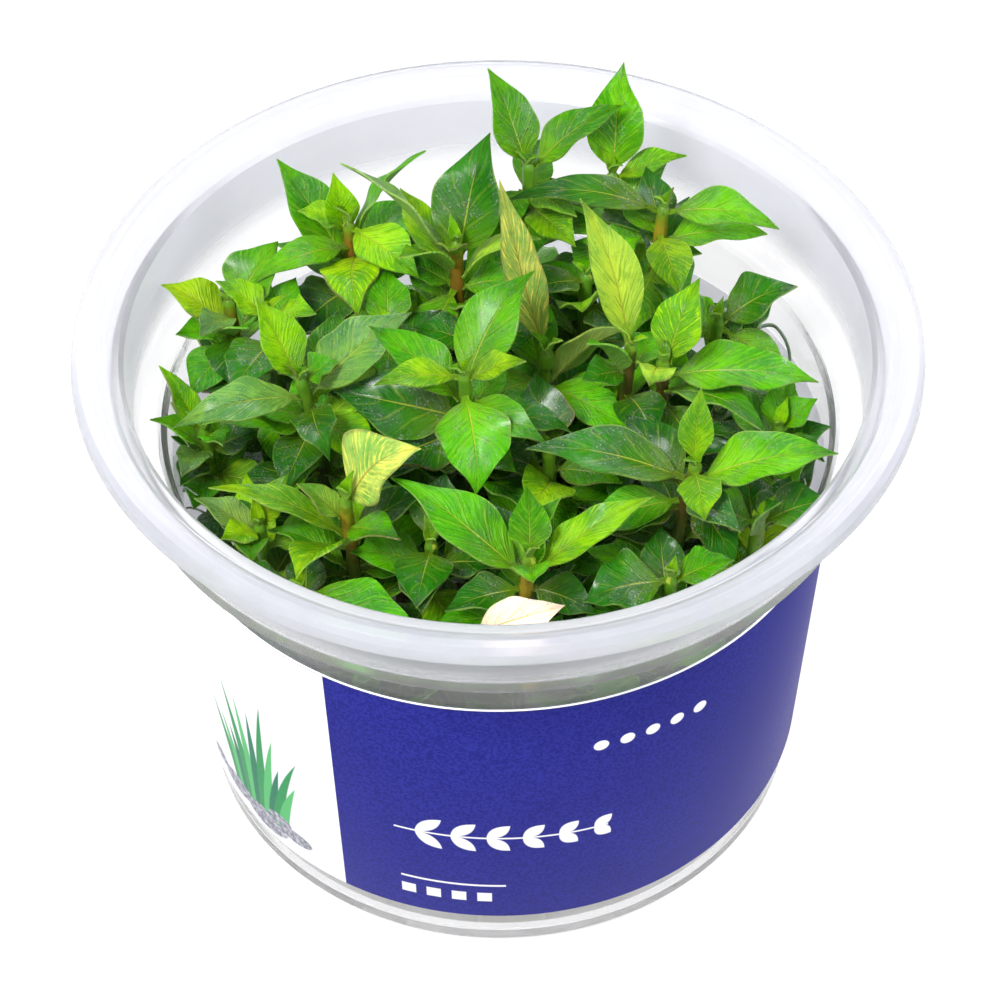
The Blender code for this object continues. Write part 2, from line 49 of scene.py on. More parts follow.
class Link:
    def __init__(self, finish, socket):
        self.finish = finish
        self.socket = socket

    def math(self, operation, *values):
        return self.finish.node("Math", {"operation": operation}, dict(enumerate(values)))

    def __add__(self, other):
        return self.math("ADD", self, other)

    def __sub__(self, other):
        return self.math("SUBTRACT", self, other)

    def __rsub__(self, other):
        return self.math("SUBTRACT", other, self)

    def __mul__(self, other):
        return self.math("MULTIPLY", self, other)

    def __truediv__(self, other):
        return self.math("DIVIDE", self, other)

    def __rtruediv__(self, other):
        return self.math("DIVIDE", other, self)

    def __pow__(self, other):
        return self.math("POWER", self, other)

    def __neg__(self):
        return self.math("MULTIPLY", self, -1.0)

    def __abs__(self):
        return self.math("ABSOLUTE", self)

    def __gt__(self, other):
        return self.math("GREATER_THAN", self, other)

    def __lt__(self, other):
        return self.math("LESS_THAN", self, other)

    __radd__ = __add__
    __rmul__ = __mul__

    def cosine(self):
        return self.math("COSINE", self)

    def most(self, other):
        return self.math("MAXIMUM", self, other)

    def step(self, low, high):
        values = {0: self, 1: low, 2: high, 3: 0.0, 4: 1.0}
        return self.finish.node("MapRange", {"interpolation_type": "SMOOTHSTEP", "clamp": True}, values)


class Finish:
    def __init__(self, name):
        self.material = bpy.data.materials.new(name)
        self.material.use_nodes = True
        self.tree = self.material.node_tree
        self.tree.nodes.clear()

    def node(self, kind, settings=None, values=None, out=0):
        item = self.tree.nodes.new("ShaderNode" + kind)
        for key, value in (settings or {}).items():
            setattr(item, key, value)
        for key, value in (values or {}).items():
            if isinstance(value, Link):
                self.tree.links.new(value.socket, item.inputs[key])
            else:
                item.inputs[key].default_value = value
        return Link(self, item.outputs[out]) if out is not None else None

    def place(self):
        return self.node("TexCoord", out=3)

    def height(self):
        return self.node("SeparateXYZ", None, {0: self.place()}, 2)

    def mapAxes(self, name):
        spot = self.node("UVMap", {"uv_map": name})
        return [self.node("SeparateXYZ", None, {0: spot}, axis) for axis in (0, 1)]

    def attribute(self, name, part="Color"):
        return self.node("Attribute", {"attribute_name": name}, None, part)

    def split(self, colour):
        return [self.node("SeparateColor", None, {0: colour}, part) for part in range(3)]

    def mix(self, share, first, second, blend="MIX"):
        first, second = [(*c, 1.0) if isinstance(c, tuple) else c for c in (first, second)]
        values = {0: share, 6: first, 7: second}
        return self.node("Mix", {"data_type": "RGBA", "blend_type": blend}, values, 2)

    def noise(self, where, scale, detail=3.0, rough=0.5):
        values = {"Vector": where, "Scale": scale, "Detail": detail, "Roughness": rough}
        return self.node("TexNoise", None, values)

    def tinted(self, colour, tint):
        return self.mix(1.0, colour, tint, "MULTIPLY")

    def join(self, x, y, z):
        return self.node("CombineXYZ", None, {0: x, 1: y, 2: z})

    def bump(self, height, distance, strength=1.0, under=None):
        values = {"Height": height, "Distance": distance, "Strength": strength}
        if under:
            values["Normal"] = under
        return self.node("Bump", None, values)

    def shade(self, values, second=None, share=0.0):
        shader = self.node("BsdfPrincipled", None, values)
        if second:
            shader = self.node("MixShader", None, {0: share, 1: shader, 2: second})
        self.node("OutputMaterial", None, {0: shader}, None)
        return self.material


def addObject(name, data):
    item = bpy.data.objects.new(name, data)
    bpy.context.scene.collection.objects.link(item)
    return item


def finishPiece(name, bm, finishes, replaced, smooth=60):
    # a piece of the part: it stands for the solid that it replaces
    bmesh.ops.scale(bm, vec=(mm, mm, mm), verts=bm.verts[:])
    mesh = bpy.data.meshes.new(name)
    bm.to_mesh(mesh)
    bm.free()
    mesh.shade_smooth()
    mesh.set_sharp_from_angle(angle=math.radians(smooth))
    for finish in finishes:
        mesh.materials.append(finish)
    piece = addObject(name, mesh)
    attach(piece, body)
    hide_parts(replaced)


# The cup: one wall turned round the upright axis, floor, shoulder, rim and lip included.

cup = {
    "turns": 192,
    "baseRadius": 38.5,
    "lowRadius": 38.95, "lowHeight": 1.3,
    "highRadius": 41.75, "highHeight": 57.9,
    "seatRadius": 46.3, "seatHeight": 59.3,
    "lipRadius": 51.4, "lipHeight": 72.2,
    "rimRadius": 45.1, "rimHeight": 69.8,
    "wall": 0.9, "floor": 1.5,
    "beads": (47.2, 48.3, 49.3),  # fine raised rings on the lip
    "beadHeight": 0.04, "beadHalf": 0.22,
    "round": 0.24,
}


def wallRadius(height):
    part = (height - cup["lowHeight"]) / (cup["highHeight"] - cup["lowHeight"])
    return cup["lowRadius"] + part * (cup["highRadius"] - cup["lowRadius"])


def freeRadius(height):
    if height > cup["lipHeight"]:
        return cup["lipRadius"]
    if height > cup["seatHeight"] + 1:
        return cup["rimRadius"] - 0.5
    return wallRadius(height) - cup["wall"]


def lipTop():
    # from the outer edge inwards, falling to the rim, with the beads on the way
    start = (cup["lipRadius"] - 1.8, cup["lipHeight"] + 0.1)
    end = (cup["rimRadius"] + 0.6, cup["rimHeight"] + 0.6)
    points = [start]
    for bead in reversed(cup["beads"]):
        for side, lift in ((1, 0), (0, cup["beadHeight"]), (-1, 0)):
            radius = bead + side * cup["beadHalf"]
            part = (start[0] - radius) / (start[0] - end[0])
            points.append((radius, start[1] + part * (end[1] - start[1]) + lift))
    return points + [end]


def cupProfile():
    lip, lipHeight = cup["lipRadius"], cup["lipHeight"]
    seat, seatHeight = cup["seatRadius"], cup["seatHeight"]
    high, highHeight, wall = cup["highRadius"], cup["highHeight"], cup["wall"]
    outside = [
        (0, 0),
        (cup["baseRadius"] - 1.1, 0),
        (cup["baseRadius"], 0.4),
        (cup["lowRadius"], cup["lowHeight"]),
        (high, highHeight),
        (high + 0.5, highHeight + 0.5),
        (seat - 0.7, seatHeight - 0.6),
        (seat, seatHeight),
        (seat + 0.6, lipHeight - 3.4),
        (seat + 1.1, lipHeight - 2.9),
        (lip - 0.6, lipHeight - 2.8),
        (lip, lipHeight - 2),
        (lip - 0.2, lipHeight - 0.7),
        (lip - 0.9, lipHeight),
    ]
    inside = [
        (cup["rimRadius"], cup["rimHeight"]),
        (cup["rimRadius"] - 0.5, seatHeight + 1),
        (cup["rimRadius"] - 1, seatHeight + 0.3),
        (high + 0.5, seatHeight - 0.1),
        (high - 0.4, seatHeight - 0.7),
        (high - wall, highHeight - 0.5),
        (cup["lowRadius"] - wall + 0.1, cup["floor"] + 1.2),
        (cup["lowRadius"] - wall - 0.9, cup["floor"]),
        (0, cup["floor"]),
    ]
    return outside + lipTop() + inside


def turnedPiece(profile, turns, rounded=0.0, closed=False):
    bm = bmesh.new()
    verts = [bm.verts.new((radius, 0, height)) for radius, height in profile]
    edges = [bm.edges.new(pair) for pair in zip(verts, verts[1:])]
    if closed:
        edges.append(bm.edges.new((verts[-1], verts[0])))
    if rounded:
        corners = [vert for vert in verts if vert.co.x > 1]
        bmesh.ops.bevel(bm, geom=corners, offset=rounded, affect="VERTICES", segments=3, profile=0.5,
                        material=-1, clamp_overlap=True)
    bmesh.ops.spin(bm, geom=bm.verts[:] + bm.edges[:], cent=(0, 0, 0), axis=(0, 0, 1), angle=math.tau,
                   steps=turns, use_merge=True)
    bmesh.ops.remove_doubles(bm, verts=bm.verts[:], dist=0.002)
    bmesh.ops.recalc_face_normals(bm, faces=bm.faces[:])
    return bm


def cupPlastic():
    look = {
        "lip": (0.895, 0.90, 0.965), "wall": (0.985, 0.985, 0.995), "hazeTint": (0.98, 0.985, 0.99),
        "lipMilk": 0.26, "wallMilk": 0.06, "hazeMilk": 0.04,
        "rough": 0.17, "wallSmooth": 0.1, "bend": 1.30, "ripple": 0.00003,
    }
    f = Finish("cup_milky_plastic")
    wall = 1 - (f.height() / mm).step(cup["seatHeight"], cup["seatHeight"] + 4)
    haze = f.noise(f.place(), 60, 3.0)
    cloud = f.noise(f.place(), 220, 2.0)
    tint = f.mix(wall, look["lip"], look["wall"])
    tint = f.mix(haze.step(0.4, 0.65) * 0.3, tint, f.tinted(tint, look["hazeTint"]))
    relief = f.bump(cloud, look["ripple"], 0.25)
    rough = look["rough"] + haze.step(0.35, 0.7) * 0.04 - wall * look["wallSmooth"]
    milk = f.node("BsdfPrincipled", None, {"Base Color": tint, "Roughness": rough + 0.15, "Normal": relief})
    share = look["lipMilk"] + wall * (look["wallMilk"] - look["lipMilk"])
    share = share + haze.step(0.3, 0.7) * look["hazeMilk"]
    return f.shade({
        "Base Color": tint,
        "Roughness": rough,
        "IOR": look["bend"],
        "Transmission Weight": 1.0,
        "Normal": relief,
    }, milk, share)


def makeCup():
    bm = turnedPiece(cupProfile(), cup["turns"], cup["round"])
    finishPiece("cup_turned", bm, [cupPlastic()], "pot")
    print("cup made")


# The label: a printed band. Its map runs round and up it in millimetres, from the side that faces the viewer.

label = {
    "low": 7.1, "high": 50.7, "thick": 0.3, "gap": 0.3, "turns": 192,
    "corner": 0.05, "topCut": 0.25,
    "navy": (0.014, 0.017, 0.21), "paleNavy": (0.030, 0.034, 0.32), "deepNavy": (0.014, 0.014, 0.17),
    "white": (0.93, 0.93, 0.95), "greyWhite": (0.86, 0.87, 0.92), "cutEdge": (0.05, 0.05, 0.09),
    "panelEdge": -21.3,  # where the white panel starts, left of the middle
    "panelEnd": -108.0,
}


def grassBlade(u, v, foot, lean, bend, tall, wide):
    # one curved grass blade: how far inside its tapering width a point lies
    rise = v - foot[1]
    part = rise / tall
    middle = foot[0] + rise * lean + rise * rise * bend
    half = wide * (1 - part * part)
    inside = (half - abs(u - middle)).step(-0.1, 0.12)
    return inside * (rise > 0.0) * (part < 1.0)


def leafShape(u, v, centre, angle, long, wide):
    # a pointed leaf laid at an angle
    c, s = math.cos(math.radians(angle)), math.sin(math.radians(angle))
    along = (u - centre[0]) * c + (v - centre[1]) * s
    across = (v - centre[1]) * c - (u - centre[0]) * s
    part = along / (long / 2)
    half = (1 - part * part) * (wide / 2)
    return (half - abs(across)).step(-0.08, 0.1)


def discShape(u, v, centre, wide, tall):
    across, up = (u - centre[0]) / wide, (v - centre[1]) / tall
    return (1 - (across * across + up * up) ** 0.5).step(-0.06, 0.08)


def sprig(u, v):
    # a stem that lies along the label, with paired leaves that grow shorter
    look = {"length": 27.0, "pairs": 6, "leaf": 4.6, "shorter": 0.07, "wide": 1.9, "lean": 42, "stem": 0.32}
    left, height = -13.5, 24.5
    shape = (look["stem"] / 2 - abs(v - height)).step(-0.08, 0.1)
    shape = shape * (u > left) * (u < left + look["length"])
    lean = math.radians(look["lean"])
    for k in range(look["pairs"]):
        at = left + look["length"] * (k + 0.6) / look["pairs"]
        reach = look["leaf"] * (1 - look["shorter"] * k)
        for side in (1, -1):
            centre = (at + math.cos(lean) * reach / 2, height + side * math.sin(lean) * reach / 2)
            shape = shape.most(leafShape(u, v, centre, side * look["lean"], reach, look["wide"]))
    return shape


def plainMarks(u, v):
    # a short rule with squares below it, and a row of small discs further up
    look = {
        "rule": (-13.0, 14.0, 13.6), "ruleHalf": 0.2, "pitch": 3.3,
        "square": 1.9, "squares": 4, "squareDrop": 2.6,
        "disc": 0.95, "discs": 5, "firstDisc": (12.0, 41.5),
    }
    left, height, length = look["rule"]
    shape = ((look["ruleHalf"] - abs(v - height)).step(-0.06, 0.08)) * (u > left) * (u < left + length)
    away = abs(v - (height - look["squareDrop"]))
    for k in range(look["squares"]):
        middle = left + look["square"] / 2 + k * look["pitch"]
        inside = (look["square"] / 2 - abs(u - middle).most(away)).step(-0.05, 0.07)
        shape = shape.most(inside)
    first, discHeight = look["firstDisc"]
    for k in range(look["discs"]):
        centre = (first + k * look["pitch"], discHeight)
        shape = shape.most(discShape(u, v, centre, look["disc"], look["disc"]))
    return shape


def grassPicture(f, u, v, paper):
    # a tuft of grass blades over rounded pebbles, printed on the white panel
    look = {
        "foot": (-36.0, 11.0), "spread": 4.5, "blades": 11, "tall": 27.0, "wide": 1.0,
        "lean": 0.16, "bend": 0.012,
        "greens": ((0.03, 0.30, 0.09), (0.10, 0.50, 0.16), (0.02, 0.20, 0.10)),
        "pebbles": ((-41.5, 10.6, 3.6, 1.7), (-35.0, 9.9, 4.2, 2.0), (-29.2, 11.0, 2.8, 1.3),
                    (-46.6, 11.4, 2.2, 1.1), (-32.0, 12.6, 2.2, 1.0)),
        "stone": (0.22, 0.23, 0.27), "paleStone": (0.55, 0.56, 0.62),
    }
    picture = paper
    middle, low = look["foot"]
    for k in range(look["blades"]):
        spread = (k / (look["blades"] - 1) - 0.5) * 2
        foot = (middle + spread * look["spread"], low)
        tall = look["tall"] * (1 - 0.45 * abs(spread) - 0.12 * (k % 3))
        shape = grassBlade(u, v, foot, spread * look["lean"], spread * look["bend"], tall, look["wide"])
        picture = f.mix(shape, picture, look["greens"][k % 3])
    grain = f.noise(f.join(u, v, 0.0), 1.4, 3.0)
    for x, z, wide, tall in look["pebbles"]:
        stone = f.mix(grain.step(0.4, 0.65), look["stone"], look["paleStone"])
        picture = f.mix(discShape(u, v, (x, z), wide, tall), picture, stone)
    return picture


def labelFilm():
    f = Finish("label_printed_film")
    u, v = f.mapAxes("bandMap")
    fine = f.noise(f.place(), 2400, 2.0)
    soft = f.noise(f.place(), 60, 2.0)
    navy = f.mix(fine.step(0.38, 0.62) * 0.75, label["navy"], label["paleNavy"])
    navy = f.mix(soft.step(0.4, 0.7) * 0.2, navy, label["deepNavy"])
    marks = sprig(u, v).most(plainMarks(u, v))
    navy = f.mix(marks, navy, label["white"])
    paper = f.mix(soft.step(0.3, 0.8) * 0.3, label["white"], label["greyWhite"])
    panel = (u < label["panelEdge"]) * (u > label["panelEnd"])
    inks = f.mix(panel, navy, grassPicture(f, u, v, paper))
    edge = (v - label["high"] + label["topCut"]).step(0.0, 0.2)  # cut edge along the top
    inks = f.mix(edge * 0.6, inks, label["cutEdge"])
    return f.shade({
        "Base Color": inks,
        "Roughness": 0.42 + fine.step(0.3, 0.7) * 0.1,
        "Specular IOR Level": 0.05,
        "Sheen Weight": 0.13,
        "Sheen Tint": (0.85, 0.7, 1.0, 1.0),
        "Sheen Roughness": 0.35,
        "Normal": f.bump(fine * 0.5 + soft, 0.00006, 0.4),
    })


def labelBack():
    f = Finish("label_white_back")
    soft = f.noise(f.place(), 200, 3.0)
    return f.shade({
        "Base Color": f.mix(soft.step(0.35, 0.7) * 0.4, (0.88, 0.88, 0.91), (0.82, 0.82, 0.87)),
        "Roughness": 0.55 + soft * 0.1,
        "Emission Color": (0.93, 0.93, 1.0, 1.0),  # painted glow: stands in for the light that comes through the thin white film
        "Emission Strength": 0.55,
        "Normal": f.bump(soft, 0.0001, 0.3),
    })


def makeLabel():
    low, high = [wallRadius(label[end]) + label["gap"] for end in ("low", "high")]
    thick = label["thick"]
    profile = [
        (low, label["low"]),
        (low + thick, label["low"]),
        (high + thick, label["high"]),
        (high, label["high"]),
    ]
    bm = turnedPiece(profile, label["turns"], label["corner"], closed=True)
    bandMap = bm.loops.layers.uv.new("bandMap")
    middle = (low + high) / 2 + thick
    for face in bm.faces:
        centre = face.calc_center_median()
        about = math.atan2(centre.x, -centre.y)  # 0 faces the viewer, growing to the right
        inward = face.normal.x * centre.x + face.normal.y * centre.y < 0
        if inward or face.normal.z > 0.6:
            face.material_index = 1
        for loop in face.loops:
            place = loop.vert.co
            turn = math.atan2(place.x, -place.y)
            turn += math.tau * round((about - turn) / math.tau)
            loop[bandMap].uv = (turn * middle, place.z)
    finishPiece("label_band", bm, [labelFilm(), labelBack()], "label", 30)
    print("label made")


# The gel that the plants stand in, a little uneven on top.

gel = {
    "high": 14.0, "gap": 0.3, "ripple": 0.35, "turns": 96, "rings": 10,
    "pale": (0.56, 0.56, 0.55), "dull": (0.44, 0.43, 0.38), "grit": (0.30, 0.24, 0.13),
}


def gelFinish():
    f = Finish("gel_nutrient")
    cloud = f.noise(f.place(), 90, 4.0)
    grit = f.noise(f.place(), 700, 2.0).step(0.62, 0.74)
    colour = f.mix(cloud.step(0.35, 0.7), gel["pale"], gel["dull"])
    colour = f.mix(grit * 0.5, colour, gel["grit"])
    return f.shade({
        "Base Color": colour,
        "Roughness": 0.18 + cloud.step(0.4, 0.8) * 0.15,
        "Subsurface Weight": 0.25,
        "Subsurface Radius": (0.004, 0.004, 0.003),
        "Subsurface Scale": 1.0,
        "Normal": f.bump(cloud, 0.0008, 0.5),
    })


def makeGel():
    base = cup["floor"] + gel["gap"]
    edge = cup["lowRadius"] - cup["wall"] - gel["gap"]
    top = wallRadius(gel["high"]) - cup["wall"] - gel["gap"]
    profile = [(0, base), (edge - 1.1, base), (edge - 0.1, base + 1.3), (top, gel["high"])]
    inner = gel["high"] - gel["ripple"]
    profile += [(top * (1 - k / gel["rings"]), inner) for k in range(1, gel["rings"] + 1)]
    bm = turnedPiece(profile, gel["turns"])
    for vert in bm.verts:
        x, y, z = vert.co
        if abs(z - inner) < 0.01:
            swell = math.sin(x * 0.31 + 1) * math.cos(y * 0.27) + math.sin(x * y * 0.02)
            vert.co.z += gel["ripple"] * 0.45 * swell
    finishPiece("gel_block", bm, [gelFinish()], "growth_gel")
    print("gel made")


# The plants. Each leaf and shoot stands as in the solids: a leaf leaves its stem "drop" below the crown,
# towards an azimuth, and its chord rises by "lift".

plant = {
    "footHalf": 1.1, "crownHalf": 0.75, "nodeHalf": 0.6, "nodeStep": 8.0, "lowNodes": 2,
    "thick": 0.6, "fold": 0.22, "room": 0.22, "gap": 0.3, "longLeaf": 12.0,
    "stations": (0.36, 0.72), "longStations": (0.16, 0.42, 0.74),
    "turnStep": 5, "turnReach": 35, "scales": (1, 0.9, 0.8, 0.7), "seed": 11, "lookSeed": 7,
}
leafDefaults = (0.06, 0, "mid", None)
Leaf = namedtuple("Leaf", "drop azimuth lift length width bow roll tone name", defaults=leafDefaults)
Shoot = namedtuple("Shoot", "name foot crown turn leaves")
Blade = namedtuple("Blade", "owner drop blade whole middle reach")

shoots = [
    Shoot("shoot_centre", (-3, -6), (-4, -10, 74), -5, [
        Leaf(2.5, 51, 40, 16, 8, name="leaf_centre_rear"),
        Leaf(2.5, -82, -30, 12, 9, 0.08, name="leaf_centre_front"),
        Leaf(0, -168, 8, 10, 4.4, tone="young"),
        Leaf(0, 8, 25, 7, 4.2, tone="young"),
        Leaf(7.5, 168, 5, 15.5, 9, 0.06, -35, "dark", "leaf_dark_glossy"),
        Leaf(7.5, 0, -8, 12, 7, tone="dark"),
        Leaf(10.5, -150, 0, 11.5, 8, 0.08, -20, "dark"),
    ]),
    Shoot("shoot_right", (20, -15), (23, -20, 69), -5, [
        Leaf(0, 81, 60, 9, 4.2, 0, tone="young"),
        Leaf(0, -80, -20, 6.2, 5.2, 0.1, tone="young"),
        Leaf(2.5, 0, 17, 16.7, 8, name="leaf_right_front"),
        Leaf(2.5, 172, 10, 19, 7.6, tone="dark", name="leaf_long_dark"),
        Leaf(7, -160, -8, 13.3, 6.2),
        Leaf(7, -50, -30, 9, 6.2, tone="dark"),
    ]),
    Shoot("shoot_front", (2, -26), (3.5, -31, 65), 93, [
        Leaf(0, 93, 55, 8.4, 5, 0.02),
        Leaf(0, -85, 25, 4.5, 4.6, 0.1),
        Leaf(2.5, 22, 27, 16.5, 5, tone="young", name="leaf_young_lance"),
        Leaf(2.5, 150, 27, 18.7, 7.8, name="leaf_front_left"),
        Leaf(6, -25, -5, 8, 6, tone="dark"),
        Leaf(6, -160, 0, 9.3, 6, tone="dark"),
    ]),
    Shoot("shoot_left", (-20, -3), (-23.5, -6.5, 70), 125, [
        Leaf(0, 140, 58, 11.5, 6.4, 0, tone="young", name="leaf_left_upright"),
        Leaf(0, 15, 30, 4.4, 5, 0.1),
        Leaf(2.5, 32, 27, 15.5, 8.4, name="leaf_left_broad"),
        Leaf(2.5, -160, 4, 15.8, 5.6, 0.16, -10, name="leaf_left_arching"),
        Leaf(6, -42, -9, 10.5, 6.6, tone="young"),
        Leaf(6, 174, 8, 6.5, 5.4),
        Leaf(9, -110, -10, 9, 6.4, tone="dark"),
    ]),
    Shoot("shoot_front_left", (-17, -19), (-18, -22.5, 66), 20, [
        Leaf(0, 20, 38, 8.2, 7.6, 0.16, tone="yellow", name="leaf_crumpled_yellow"),
        Leaf(2.5, 160, 40, 6.6, 4, tone="yellow"),
        Leaf(6, 15, 28, 10.8, 5.2, tone="dark"),
        Leaf(6, 170, 20, 16.8, 3.8, 0.14, tone="young", name="leaf_slender"),
    ]),
    Shoot("shoot_back_left", (-17, 16), (-18.5, 19, 72), 145, [
        Leaf(0, 175, 20, 6, 4.8, tone="young"),
        Leaf(0, -44, -4, 11.5, 7, tone="young"),
        Leaf(2.5, -155, -2, 12.8, 4.8, 0.15, -10),
        Leaf(2.5, 40, 36, 14.3, 4.4, 0.1, -40),
        Leaf(6, 138, 43, 15.8, 7.4, roll=-10, name="leaf_back_left"),
        Leaf(6, -70, 5, 8.5, 6),
        Leaf(9, -140, -15, 9, 9, tone="dark"),
    ]),
    Shoot("shoot_back", (-5, 10), (-5, 13, 74), 65, [
        Leaf(2.5, 70, 52, 16, 9.2, 0.03, tone="dark", name="leaf_back_dark"),
        Leaf(2.5, 158, 42, 18.5, 4.8, 0.05, 40, name="leaf_back_slender"),
        Leaf(0, -100, 45, 4, 4, tone="young"),
        Leaf(6, -118, -30, 11.5, 5.6),
        Leaf(6, -5, 12, 8, 5.6),
        Leaf(6, 165, 22, 8, 5.6),
        Leaf(10, 60, 15, 9, 6.4, tone="dark"),
        Leaf(10, -60, -5, 10, 6.8, tone="dark"),
    ]),
    Shoot("shoot_right_back", (18, 14), (20.5, 17, 76), -10, [
        Leaf(0, -12, 2, 13.7, 6.2, 0.1, name="leaf_back_right"),
        Leaf(0, 175, 2, 18.5, 5, 0.14, -10, tone="dark", name="leaf_back_right_arching"),
        Leaf(3, 110, 45, 7.8, 5.4, tone="dark"),
        Leaf(3, -75, -15, 9, 5.8, tone="young"),
        Leaf(7, -10, 20, 5, 4.2),
        Leaf(7, 170, 10, 9, 6, 0.08, -20),
        Leaf(11, -100, 0, 9.5, 6.6),
    ]),
    Shoot("shoot_peak_left", (4, 20), (4, 24, 77), 110, [
        Leaf(0, 125, 55, 13, 6.6, 0.02, name="leaf_peak_left"),
        Leaf(0, 15, 34, 13.6, 6.4, name="leaf_peak_middle"),
        Leaf(3, -120, -20, 6, 4.8),
        Leaf(3, -45, 8, 8, 5, tone="young"),
        Leaf(7, -135, -20, 12, 5.4),
        Leaf(7, 30, 12, 8, 5.8, tone="dark"),
    ]),
    Shoot("shoot_peak_right", (13, 20), (14.5, 24.5, 75), 85, [
        Leaf(0, 82, 60, 14, 7.4, 0.02, name="leaf_peak_right"),
        Leaf(0, 5, 24, 9, 4.4, tone="young"),
        Leaf(4, 178, 3, 9, 5.4, tone="dark"),
        Leaf(4, -60, 5, 7, 5, tone="dark"),
        Leaf(8, -110, -5, 9.5, 6.6),
    ]),
    Shoot("shoot_middle", (4, 2), (6, 0, 68), 110, [
        Leaf(0, 112, 52, 21.5, 5.2, 0.04, tone="yellow", name="leaf_long_yellow"),
        Leaf(5, 15, 35, 12, 6.6, roll=-70, name="leaf_underside"),
        Leaf(5, -30, -12, 12.6, 6),
        Leaf(9, -150, 5, 9.5, 6.6, tone="dark"),
        Leaf(9, 40, 10, 8.5, 6, tone="dark"),
    ]),
    Shoot("shoot_tall", (14, 0), (16, -3, 72), 115, [
        Leaf(0, 118, 50, 18.4, 6.5, 0.04, tone="yellow", name="leaf_pale_tall"),
        Leaf(4, -150, 15, 6, 5.2, tone="dark"),
        Leaf(4, 62, 8, 6.5, 4.8),
        Leaf(8, -70, 5, 8.5, 6.6, tone="dark"),
    ]),
    Shoot("shoot_middle_right", (20.5, 1), (19.8, -3.5, 69.5), 30, [
        Leaf(0, 58, 50, 11, 6.4, 0.12, tone="young"),
        Leaf(0, -105, 15, 4.4, 5, 0.15, tone="yellow"),
        Leaf(2.5, -8, 5, 18.2, 8, name="leaf_right_broad"),
        Leaf(7, -60, -25, 9, 6, tone="dark"),
    ]),
    Shoot("shoot_right_rear", (26, 8), (27, 5.5, 68), 10, [
        Leaf(0, 10, 30, 10, 7.6, tone="dark", name="leaf_right_dark"),
        Leaf(3, 55, 45, 6, 4.6, tone="dark"),
        Leaf(3, 150, 36, 10, 6),
        Leaf(7, -80, 10, 8, 5),
    ]),
    Shoot("shoot_low_middle", (7, -9), (6, -11, 62), 100, [
        Leaf(0, 100, 52, 9.6, 7.6, tone="dark", name="leaf_dark_upright"),
        Leaf(3, 175, 15, 8, 5.4, tone="dark"),
        Leaf(3, -20, 5, 8.5, 6),
        Leaf(6, -90, -5, 9, 6),
    ]),
    Shoot("shoot_right_edge", (33, -7), (34, -7, 62), 15, [
        Leaf(0, 17, 45, 5.6, 4.2),
        Leaf(3, 175, 18, 8.8, 5.4, tone="dark"),
        Leaf(3, -75, 5, 7, 5),
        Leaf(6, 70, 10, 8, 5),
    ]),
    Shoot("shoot_left_edge", (-35, -5), (-36, -5, 60), 135, [
        Leaf(0, 140, 55, 9.5, 3.6, tone="young"),
        Leaf(0, -60, 30, 5, 4),
        Leaf(3.5, 15, 16, 6, 5.4, tone="dark"),
        Leaf(7, -20, 0, 7.8, 5.4, tone="young"),
        Leaf(7, -100, 5, 6, 5),
    ]),
    Shoot("shoot_far_left", (-32, 11), (-33.5, 12.5, 65), 0, [
        Leaf(0, 45, 48, 9.5, 8),
        Leaf(3.5, 168, 32, 9.8, 7, tone="young"),
        Leaf(3.5, -85, -34, 7.8, 6.6, tone="dark"),
        Leaf(7, -140, -20, 8, 6.6),
    ]),
    Shoot("shoot_rim_left", (-22, -25), (-23.5, -28.5, 57), -10, [
        Leaf(0, -24, -2, 15.5, 8, name="leaf_rim_front"),
        Leaf(0, -178, 22, 9.8, 5, tone="dark"),
        Leaf(3, 90, 15, 7, 5, tone="dark"),
    ]),
    Shoot("shoot_slim", (-28, -18), (-28.5, -20, 59), 50, [
        Leaf(0, 50, 48, 7, 4, tone="young"),
        Leaf(0, -140, 25, 5.5, 4.4, tone="young"),
        Leaf(3, 140, 20, 8, 5, tone="dark"),
    ]),
    Shoot("shoot_inner_left", (-27, 5), (-28, 8, 67), 160, [
        Leaf(0, 160, 32, 7.5, 5.2, tone="young"),
        Leaf(0, -20, 30, 6, 5, tone="young"),
        Leaf(3, 70, 25, 8, 5.4),
        Leaf(3, -118, 0, 10, 7.4, tone="dark"),
    ]),
    Shoot("shoot_front_right", (19, -28), (20, -30.5, 61), -170, [
        Leaf(0, -168, -5, 9.8, 8.6, tone="dark"),
        Leaf(0, 10, 22, 7, 5.4),
        Leaf(3, -75, 0, 7, 6),
        Leaf(3, 95, 25, 8, 5.6, tone="dark"),
    ]),
    Shoot("shoot_far_right", (29, -19), (31, -20.5, 60), 5, [
        Leaf(0, 5, 15, 8.5, 6.8, tone="dark"),
        Leaf(0, 178, 15, 8, 6.6),
        Leaf(3, -85, 0, 7, 6, tone="dark"),
        Leaf(3, 95, 22, 9, 5.8, tone="dark"),
    ]),
    Shoot("shoot_inner_back", (10, 10), (11, 12.5, 69), -60, [
        Leaf(0, -150, 15, 9, 6, tone="dark"),
        Leaf(0, 30, 25, 8, 6),
        Leaf(3.5, -60, 0, 10, 7, tone="dark"),
        Leaf(3.5, 120, 20, 8, 6),
    ]),
    Shoot("shoot_inner", (-3, 4), (-2, 4, 66), 0, [
        Leaf(0, 175, 18, 8, 6, tone="dark"),
        Leaf(0, 5, 20, 8.5, 6, tone="dark"),
        Leaf(3.5, 95, 15, 8, 6, tone="dark"),
        Leaf(3.5, -90, 0, 8, 6, tone="dark"),
    ]),
    Shoot("shoot_inner_rear_left", (-13, 4), (-13.5, 5, 67), 90, [
        Leaf(0, -92, 5, 9, 6.6),
        Leaf(0, 92, 28, 8, 6),
        Leaf(3.5, 175, 10, 8.5, 6.4, tone="dark"),
        Leaf(3.5, 0, 5, 8, 6, tone="dark"),
    ]),
